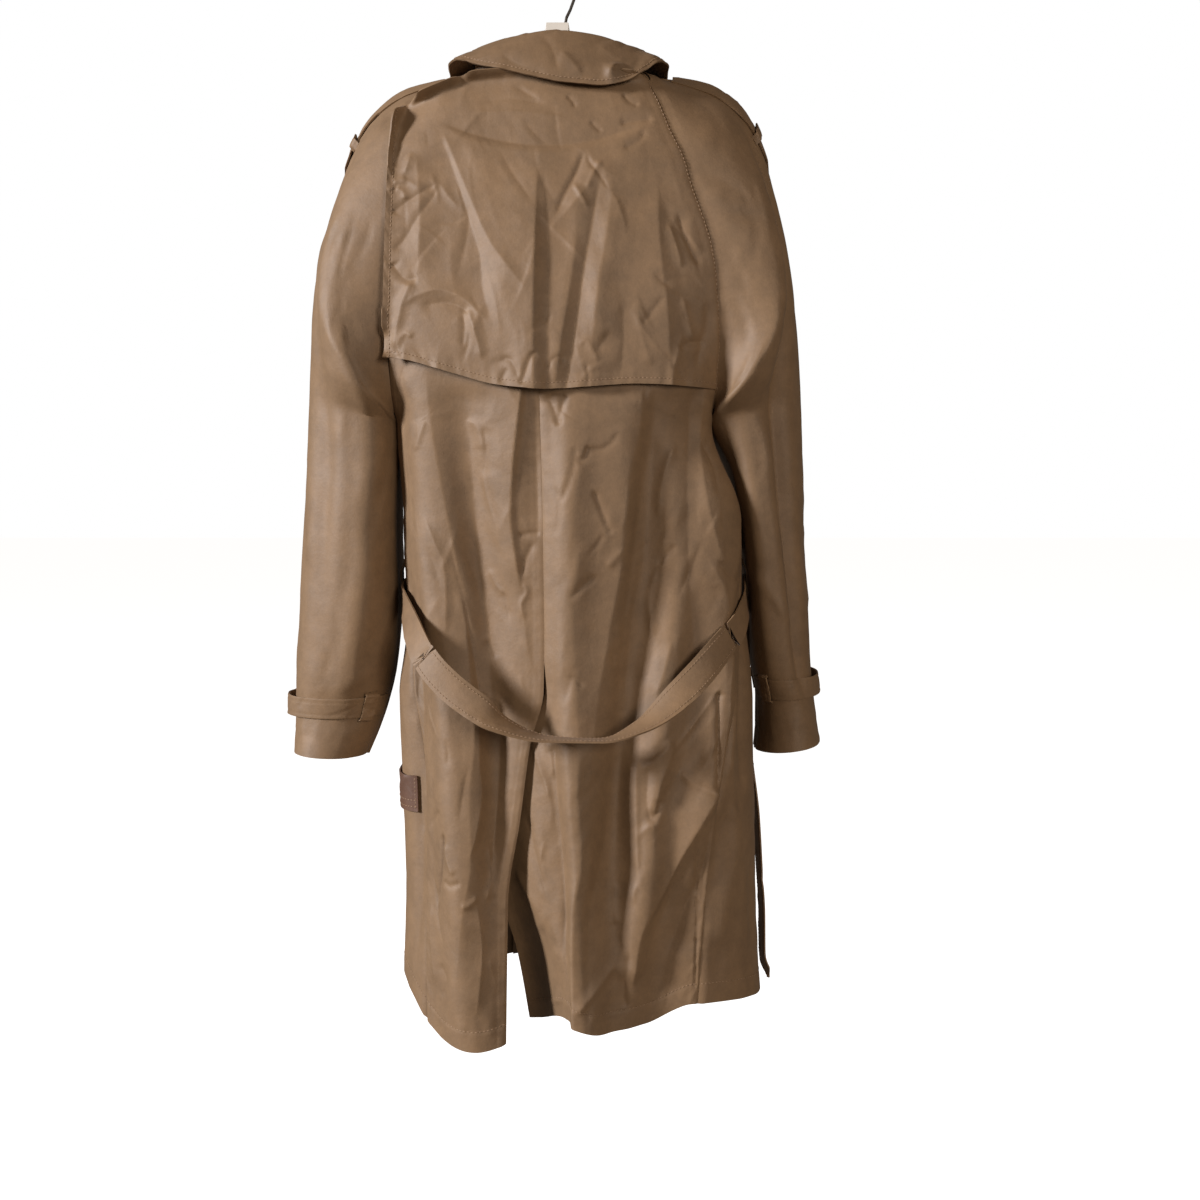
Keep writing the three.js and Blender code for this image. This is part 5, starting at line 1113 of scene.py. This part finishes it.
panels = {}
for name, side in SIDES:
    steps = TOP_STEPS + LOW_STEPS
    panels[f"back_{name}"] = lay_sheet(BACK_GRID, lambda i, u, s=side: back_point(s, i * steps, u), from_axis)
    panels[f"front_{name}"] = lay_sheet(FRONT_GRID, lambda i, u, s=side: front_point(s, i * steps, u), from_axis)
    for half, low, high in (("back", 0.0, 0.5), ("front", 0.5 + 1e-7, 1.0)):
        opposite = sleeve_point(side, np.array(CUFF_ROW), np.array(0.75 if half == "back" else 0.25))
        panels[f"sleeve_{name}_{half}"] = lay_sheet(
            SLEEVE_GRID[half],
            lambda i, u, s=side, a=low, b=high: sleeve_point(s, i * CUFF_ROW, mix(a, b, u)),
            lambda p, o=opposite: p - o,
        )

PANEL_EDGES = {
    "back": {"sewn": ("low", "high", "top"), "hems": (("bottom", 24.0),), "count": 60, "planes": BACK_PLANES,
             "scale": 0.8, "amount": 0.7},
    "front": {"sewn": ("low", "top"), "hems": (("bottom", 24.0), ("high", 8.0)), "count": 90},
    "sleeve": {"sewn": ("low", "high", "top"), "hems": (("bottom", 30.0),), "count": 60},
}
for number, (name, sheet) in enumerate(panels.items()):
    creases = SLEEVE_CREASES if name.startswith("sleeve") else BACK_CREASES
    raise_sheet(sheet, panel_height(sheet, 100 + 20 * number, creases, **PANEL_EDGES[name.split("_")[0]]))
    piece = make_piece(f"cloth_{name}", sheet, WALL, COAT)
    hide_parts(name)


# Cape


def node_tree(name):
    """Faces of a node of the frame, in millimetres, to find by ray."""
    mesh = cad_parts[name].data
    corners = [tuple(v.co / MM) for v in mesh.vertices]
    return BVHTree.FromPolygons(corners, [tuple(p.vertices) for p in mesh.polygons])


def blur(values, passes):
    """Evens out a grid's values with their neighbours."""
    for _ in range(passes):
        padded = np.pad(values, 1, mode="reflect", reflect_type="odd")
        values = (padded[1:-1, 1:-1] * 2 + padded[:-2, 1:-1] + padded[2:, 1:-1]
                  + padded[1:-1, :-2] + padded[1:-1, 2:]) / 6
    return values


def lowest_y(tree, x, z, facing=-1.0):
    """Y of the face first met from behind (facing -1) or from in front (1) at each x and z."""
    y = np.empty(x.shape)
    for place in np.ndindex(*x.shape):
        hit = tree.ray_cast(Vector((x[place], 400.0 * facing, z[place])), Vector((0, -facing, 0)))
        if hit[0] is None:
            hit = tree.find_nearest(Vector((x[place], 130.0 * facing, z[place])))
        y[place] = hit[0].y
    return y


def cape_sheet():
    rows, columns = CAPE_GRID
    t, u = np.meshgrid(np.linspace(0, 1, rows + 1), np.linspace(0, 1, columns + 1), indexing="ij")

    def left_x(z):
        return read(CAPE_LEFT, "x", z)

    def right_x(z):
        return body_point(side_seam(1, z), z)[..., 0] - 1

    guess = mix(left_x(-300.0), right_x(np.array(-300.0)), u)
    start = mix(read(CAPE_TOP, "z", guess, "x"), read(CAPE_HEM, "z", guess, "x"), t)
    x = mix(left_x(start), right_x(start), u)
    z = mix(read(CAPE_TOP, "z", x, "x"), read(CAPE_HEM, "z", x, "x"), t)
    y = blur(lowest_y(node_tree("storm_flap"), x, z), 30)
    seam = body_point(side_seam(1, z) + CAPE_LAP, z, CAPE_SEATED)
    points = mix(xyz(x, y, z), seam, smooth((x - x[:, -1:] + CAPE_SEAM_REACH) / CAPE_SEAM_REACH)[..., None])
    normals = grid_normals(points, 1.0)
    sign = 1.0 if normals[rows // 2, columns // 2, 1] < 0 else -1.0
    return {"points": points, "normals": normals * sign, "sign": sign}


cape = cape_sheet()
raise_sheet(cape, panel_height(cape, 400, CAPE_CREASES, ("high", "top"), (("bottom", 9.0), ("low", 9.0)),
                               amount=0.6, fine=0.9, count=60, scale=0.9, spread=38.0))
cape_piece = make_piece("cloth_storm_flap", cape, DOUBLE_WALL, COAT)
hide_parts("storm_flap")


# Collar


def neck_line(steps):
    """Points along the neck seam from the left front end round the back to the right one, and their outward way."""
    line = []
    for name, side in SIDES:
        half = np.concatenate([panels[f"{sheet}"]["points"][0] for sheet in
                               (f"back_{name}", f"sleeve_{name}_back", f"sleeve_{name}_front", f"front_{name}")])
        half = half[~((half[:, 1] > 0) & (half[:, 0] * side < COLLAR_END_X))]
        line.append(half[::-1] if side < 0 else half)
    line = np.concatenate(line)
    gaps = np.linalg.norm(np.diff(line, axis=0), axis=1)
    line = line[np.concatenate([[True], gaps > 1e-3])]
    reached = np.concatenate([[0], np.cumsum(np.linalg.norm(np.diff(line, axis=0), axis=1))])
    s = np.linspace(0, 1, steps + 1)
    points = np.stack([np.interp(s * reached[-1], reached, line[:, k]) for k in range(3)], -1)
    for _ in range(12):
        points[1:-1] = (points[:-2] + 2 * points[1:-1] + points[2:]) / 4
    along = unit(np.gradient(points, axis=0))
    return s, points, unit(xyz(along[:, 1], -along[:, 0], 0.0))


def clear_of(tree, point, clearance):
    """Moves a point out of the garment by the shorter way, up or forwards and back."""
    facing = -1.0 if point[1] < 0 else 1.0
    above = tree.ray_cast(Vector((point[0], point[1], 60.0)), Vector((0, 0, -1)))
    beside = tree.ray_cast(Vector((point[0], 400.0 * facing, point[2])), Vector((0, -facing, 0)))
    if above[0] is None or beside[0] is None:
        return point
    up = above[0].z + clearance / max(abs(above[1].z), 0.25) - point[2]
    away = beside[0].y * facing + clearance / max(abs(beside[1].y), 0.25) - point[1] * facing
    if up > 0 and away > 0:
        point = point + (np.array([0, 0, up]) if up < away else np.array([0, away * facing, 0]))
    return point


def collar_sheet():
    rows, columns = COLLAR_GRID
    s, seam, out = neck_line(rows)
    part = np.abs(s - 0.5) * 2
    stand = read(COLLAR, "stand", part, "part")
    lean = read(COLLAR, "lean", part, "part")
    reach, fall = [np.where(s < 0.5, curve(COLLAR["part"], COLLAR["left"][key], part),
                            curve(COLLAR["part"], COLLAR["right"][key], part)) for key in ("out", "down")]
    fold_out = COLLAR_FOLD - 2 - lean
    fold_up = stand - COLLAR_FOLD
    profile = [(-2 + 0 * s, 0.5 + 0 * s), (-2 - lean / 2, stand / 2)]
    for angle in (150, 120, 90, 60, 30):
        a = math.radians(angle)
        profile.append((fold_out + COLLAR_FOLD * math.cos(a), fold_up + COLLAR_FOLD * math.sin(a)))
    start_out, start_up = profile[-1]
    for t in (0.25, 0.5, 0.75, 1.0):
        profile.append((mix(start_out, reach, t) + 3 * math.sin(t * math.pi), mix(start_up, stand - fall, t)))
    tree = tree_of(*panels.values(), cape)
    lines = []
    for station, (outwards, upwards) in enumerate(profile):
        line = seam + out * outwards[:, None] + xyz(0.0, 0.0, upwards)
        if station > 6:
            line = np.array([clear_of(tree, point, COLLAR_CLEAR) for point in line])
            for _ in range(10):
                line[1:-1] = (line[:-2] + 2 * line[1:-1] + line[2:]) / 4
        lines.append(line)
    lines = np.stack(lines, 1)
    knots = np.arange(lines.shape[1])
    w = np.concatenate([np.linspace(0, 6, columns // 2 + 1), np.linspace(6, knots[-1], columns // 2 + 1)[1:]])
    points = np.empty((rows + 1, len(w), 3))
    for i in range(rows + 1):
        for k in range(3):
            points[i, :, k] = curve(knots, lines[i, :, k], w)
    normals = grid_normals(points, 1.0)
    sign = 1.0 if normals[rows // 2, columns // 2, 2] > 0 else -1.0
    return {"points": points, "normals": normals * sign, "sign": sign}


COLLAR_CREASES = [
    (1.6, 14, 8, 0.2, 0.2, [(560, 50), (572, 62), (582, 76)]),
    (-1.2, 10, 12, 0.2, 0.2, [(500, 52), (520, 66), (548, 74)]),
    (1.0, 8, 10, 0.2, 0.2, [(596, 44), (616, 58), (640, 68)]),
    (-1.0, 8, 8, 0.2, 0.2, [(540, 34), (552, 48), (558, 70)]),
]
collar = collar_sheet()
across, down = cloth_place(collar["points"])
distances = edge_distances(collar["points"])
collar_height = (scatter_creases(down, across, 520, 26, 90.0, 40.0, 0.8) * smooth(distances["low"] / 30)
                 + crease_lift(collar["points"], collar["normals"], COLLAR_CREASES)
                 + hem_relief(distances["high"], down, 521, 7.0, 0.4) * 0.8)
raise_sheet(collar, collar_height)
collar_piece = make_piece("cloth_collar", collar, DOUBLE_WALL, COLLAR_CLOTH)
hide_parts("collar")


# Straps, loops and belt


def strap_sheet(grid, at, outwards, seed, crumpled=0.5):
    """A doubled strap or loop with pressed edges and faint creases."""
    sheet = lay_sheet(grid, at, outwards)
    across, down = cloth_place(sheet["points"])
    distances = edge_distances(sheet["points"])
    edge = np.minimum(distances["low"], distances["high"])
    height = (scatter_creases(across, down, seed, 14, 90.0, 40.0, crumpled)
              - 0.5 * np.exp(-(((edge - 4) / 1.2) ** 2)) - 0.6 * np.exp(-((edge / 1.2) ** 2)))
    return raise_sheet(sheet, height * smooth(np.minimum(distances["top"], distances["bottom"]) / 3 + 0.2))


def upwards(point):
    return np.array([0.0, 0.0, 1.0])


def sleeve_trim(name, side):
    shift = EPAULETTE_SHIFT[name] / SLEEVE_ROUND

    def across(row, mm):
        quarter = np.linalg.norm(sleeve_base(side, row, 0.4) - sleeve_base(side, row, 0.5), axis=-1)
        return 0.5 + shift + mm * 0.1 / quarter

    def epaulette(i, u):
        step = i * 11
        row = np.where(step <= 9, mix(EPAULETTE["from"], EPAULETTE["shoulder"], step / 9),
                       mix(EPAULETTE["shoulder"], EPAULETTE["to"], (step - 9) / 2))
        half = EPAULETTE["half"] * np.interp(step, [0, 9, 10, 11], [1, 1, 0.62, 0.14])
        above = np.interp(step, [0, 10, 11], [EPAULETTE["above"], EPAULETTE["above"], EPAULETTE["seated"]])
        return over_sleeve(side, row, across(row, (u - 0.5) * 2 * half), CLOSE + above)

    def epaulette_loop(i, u):
        row = EPAULETTE["loopRow"] + (i * 2 - 1) * EPAULETTE["loopSpan"]
        mm = (u - 0.5) * 2 * EPAULETTE["loopHalf"]
        raised = smooth((EPAULETTE["loopHalf"] - np.abs(mm)) / 5)
        lift = CLOSE + mix(EPAULETTE["seated"], EPAULETTE["above"] + 3.4, raised)
        return over_sleeve(side, row, across(row, mm), lift)

    strap_row = CUFF_STRAP[name]
    axis = (sleeve_base(side, strap_row, 0.5) + sleeve_base(side, strap_row, 0.0)) / 2

    def cuff_strap(i, u):
        v = mix(CUFF_STRAP["from"], CUFF_STRAP["to"], i)
        bulge = CUFF_STRAP["bulge"] * np.exp(-(((v - 0.5) / 0.12) ** 2))
        return over_sleeve(side, strap_row + (u - 0.5) * 2 * CUFF_STRAP["span"], v, CLOSE + 0.5 + bulge)

    def cuff_loop(i, u):
        row = strap_row + (i * 2 - 1) * CUFF_LOOP["reach"]
        raised = smooth((1 - np.abs(i * 2 - 1)) * CUFF_LOOP["reach"] / 0.05)
        lift = CLOSE + mix(-1.0, CUFF_LOOP["stand"], raised)
        return over_sleeve(side, row, CUFF_LOOP["at"] + (u - 0.5) * 2 * CUFF_LOOP["half"], lift)

    def from_arm(point):
        return point - axis

    for seed, (part, at, grid, outwards) in enumerate((
            ("epaulette", epaulette, (90, 16), upwards),
            ("epaulette_loop", epaulette_loop, (8, 40), upwards),
            ("cuff_strap", cuff_strap, (160, 12), from_arm),
            ("cuff_loop", cuff_loop, (40, 10), from_arm))):
        sheet = strap_sheet(grid, at, outwards, 600 + seed * 10 + side)
        piece = make_piece(f"cloth_{part}_{name}", sheet, DOUBLE_WALL, COAT)
        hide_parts(f"{part}_{name}")


def belt_point(i, u):
    last = len(BELT["x"]) - 1
    index = np.arange(last + 1)

    def place(k):
        return xyz(curve(index, BELT["x"], k), curve(index, BELT["y"], k), curve(index, BELT["z"], k))

    k = last * i
    centre = place(k)
    ahead = unit(place(np.minimum(k + 0.3, last)) - place(np.maximum(k - 0.3, 0)))
    away = unit(xyz(centre[..., 0] - 15, centre[..., 1], 0.0))
    flat = unit(np.cross(ahead, away))
    turned = (flat[..., 2] * ahead[..., 0] < 0) & (np.abs(ahead[..., 0]) > 0.5)
    flat = np.where(turned[..., None], -flat, flat)
    face = unit(np.cross(flat, ahead))
    tilt = np.radians(curve(index, BELT["tilt"], k))[..., None]
    wide = flat * np.cos(tilt) + face * np.sin(tilt)
    from_end = np.minimum(k, last - k) * 32
    half = BELT_WIDE / 2 * np.clip(from_end / BELT_POINT, 0.12, 1)
    return centre + wide * ((u - 0.5) * 2 * half)[..., None]


for name, side in SIDES:
    sleeve_trim(name, side)

belt = strap_sheet(BELT_GRID, belt_point, lambda p: np.array([0.0, -1.0, 0.0]), 700, 0.8)
belt_piece = make_piece("cloth_belt", belt, DOUBLE_WALL, COAT)
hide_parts("belt")

for name, side in SIDES:
    def belt_loop(i, u, s=side):
        z = mix(BELT_LOOP["high"], BELT_LOOP["low"], i)
        raised = smooth(np.minimum(i, 1 - i) * 8 / 1.6)
        deg = s * BELT_LOOP["at"] + np.degrees((u - 0.5) * 2 * BELT_LOOP["half"] / 105)
        return body_point(deg, z, mix(CLOSE, BELT_LOOP["stand"], raised))

    sheet = strap_sheet((40, 8), belt_loop, from_axis, 720 + side)
    piece = make_piece(f"cloth_belt_loop_{name}", sheet, DOUBLE_WALL, COAT)
    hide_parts(f"belt_loop_{name}")


# Pocket flaps and lapels

front_tree = tree_of(panels["front_left"], panels["front_right"])
pocket_flaps = {}
for name, side in SIDES:
    def pocket(i, u, s=side, n=name):
        deg = s * (POCKET["from"][n] + u * POCKET["span"])
        return body_point(deg, mix(POCKET["top"], POCKET["low"], i),
                          mix(POCKET["lift"], POCKET["rest"][n], smooth(u * 2)))

    sheet = strap_sheet((24, 48), pocket, from_axis, 740 + side)
    piece = make_piece(f"cloth_pocket_flap_{name}", sheet, DOUBLE_WALL, BAND_CLOTH)
    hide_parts(f"pocket_flap_{name}")
    pocket_flaps[name] = sheet

    def lapel(i, u, s=side):
        z = mix(mix(LAPEL["topIn"], LAPEL["topOut"], u), LAPEL["tip"], i)
        x = s * (LAPEL["innerX"] + u * mix(LAPEL["wide"], LAPEL["point"], i))
        return xyz(x, blur(lowest_y(front_tree, x, z, 1.0), 6) + LAPEL["lift"], z)

    sheet = strap_sheet((60, 34), lapel, lambda p: np.array([0.0, 1.0, 0.0]), 760 + side)
    piece = make_piece(f"cloth_lapel_{name}", sheet, DOUBLE_WALL, COAT)
    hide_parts(f"lapel_{name}")


# Stitching


def stitch_row(points, normals, pitch=4.2, length=2.9, thick=0.32):
    """Closed six-sided stitches lying along a line of points, as vertices and faces."""
    reached = np.concatenate([[0], np.cumsum(np.linalg.norm(np.diff(points, axis=0), axis=1))])
    starts = np.arange(pitch / 2, reached[-1] - length, pitch)
    if len(starts) == 0:
        return np.zeros((0, 3)), []

    def at(values, s):
        return np.stack([np.interp(s, reached, values[:, k]) for k in range(3)], -1)

    first, second = at(points, starts), at(points, starts + length)
    ahead = unit(second - first)
    up = unit(at(normals, starts + length / 2))
    beside = np.cross(ahead, up)
    rings = []
    for share, size in ((0.0, 0.45), (0.3, 1.0), (0.7, 1.0), (1.0, 0.45)):
        centre = mix(first, second, share) + up * (0.12 + 0.1 * size)
        for corner in range(6):
            a = corner * math.pi / 3
            rings.append(centre + (beside * math.cos(a) * 1.3 + up * math.sin(a)) * thick * size)
    vertices = np.stack(rings, 1)
    faces = []
    for ring in range(3):
        for corner in range(6):
            a, b = ring * 6 + corner, ring * 6 + (corner + 1) % 6
            faces.append([a, b, b + 6, a + 6])
    faces.append([5, 4, 3, 2, 1, 0])
    faces.append([18, 19, 20, 21, 22, 23])
    count = vertices.shape[0]
    return vertices.reshape(-1, 3), [[f + 24 * k for f in face] for k in range(count) for face in faces]


def grid_line(sheet, edge, inset):
    """Points and normals that run along a grid's edge, inset millimetres from it."""
    points, normals = sheet["points"], sheet["normals"]
    if edge in ("top", "bottom"):
        points, normals = points.transpose(1, 0, 2), normals.transpose(1, 0, 2)
    if edge in ("high", "bottom"):
        points, normals = points[:, ::-1], normals[:, ::-1]
    steps = np.linalg.norm(np.diff(points, axis=1), axis=-1)
    reached = np.concatenate([np.zeros((points.shape[0], 1)), np.cumsum(steps, 1)], 1)

    def inside(values):
        return np.stack([[np.interp(inset, reached[i], values[i, :, k]) for k in range(3)]
                         for i in range(len(values))])

    return inside(points), unit(inside(normals))


def sew(name, rows):
    """One piece that holds all the stitches of several lines: (sheet, edge, inset)."""
    vertices, faces = [], []
    for sheet, edge, inset in rows:
        line, ways = grid_line(sheet, edge, inset)
        more, quads = stitch_row(line, ways)
        faces.extend([[index + len(vertices) for index in quad] for quad in quads])
        vertices.extend((more * MM).tolist())
    mesh = bpy.data.meshes.new(name)
    mesh.from_pydata(vertices, [], faces)
    mesh.shade_smooth()
    mesh.materials.append(THREAD)
    piece = bpy.data.objects.new(name, mesh)
    bpy.context.scene.collection.objects.link(piece)
    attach(piece, "root")
    return piece


sew("stitches_cape", [(cape, "bottom", 6.0), (cape, "low", 6.0), (cape, "high", 3.0)])
sew("stitches_collar", [(collar, "high", 5.0)])
sew("stitches_belt", [(belt, "low", 4.0), (belt, "high", 4.0)])
for name, side in SIDES:
    sew(f"stitches_pocket_{name}", [(pocket_flaps[name], "bottom", 5.0), (pocket_flaps[name], "bottom", 12.0),
                                    (pocket_flaps[name], "low", 3.0)])
    sew(f"stitches_back_{name}", [(panels[f"back_{name}"], "bottom", 21.0)])
    sew(f"stitches_front_{name}", [(panels[f"front_{name}"], "bottom", 21.0), (panels[f"front_{name}"], "high", 6.0)])
    sew(f"stitches_sleeve_{name}", [(panels[f"sleeve_{name}_{half}"], edge, inset)
                                    for half, edge, inset in (("back", "bottom", 27.0), ("front", "bottom", 27.0),
                                                              ("back", "low", 2.6), ("back", "high", 2.6))])


# Buttons, hanger and hook


def finish_node(name, material):
    """A node of the frame that keeps its own shape, with a better finish."""
    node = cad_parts[name]
    node.data.materials.clear()
    node.data.materials.append(material)


for number in range(1, 7):
    finish_node(f"button_{number}", BUTTON_HORN)
finish_node("hanger", HANGER_PLASTIC)
finish_node("hook", HOOK_STEEL)
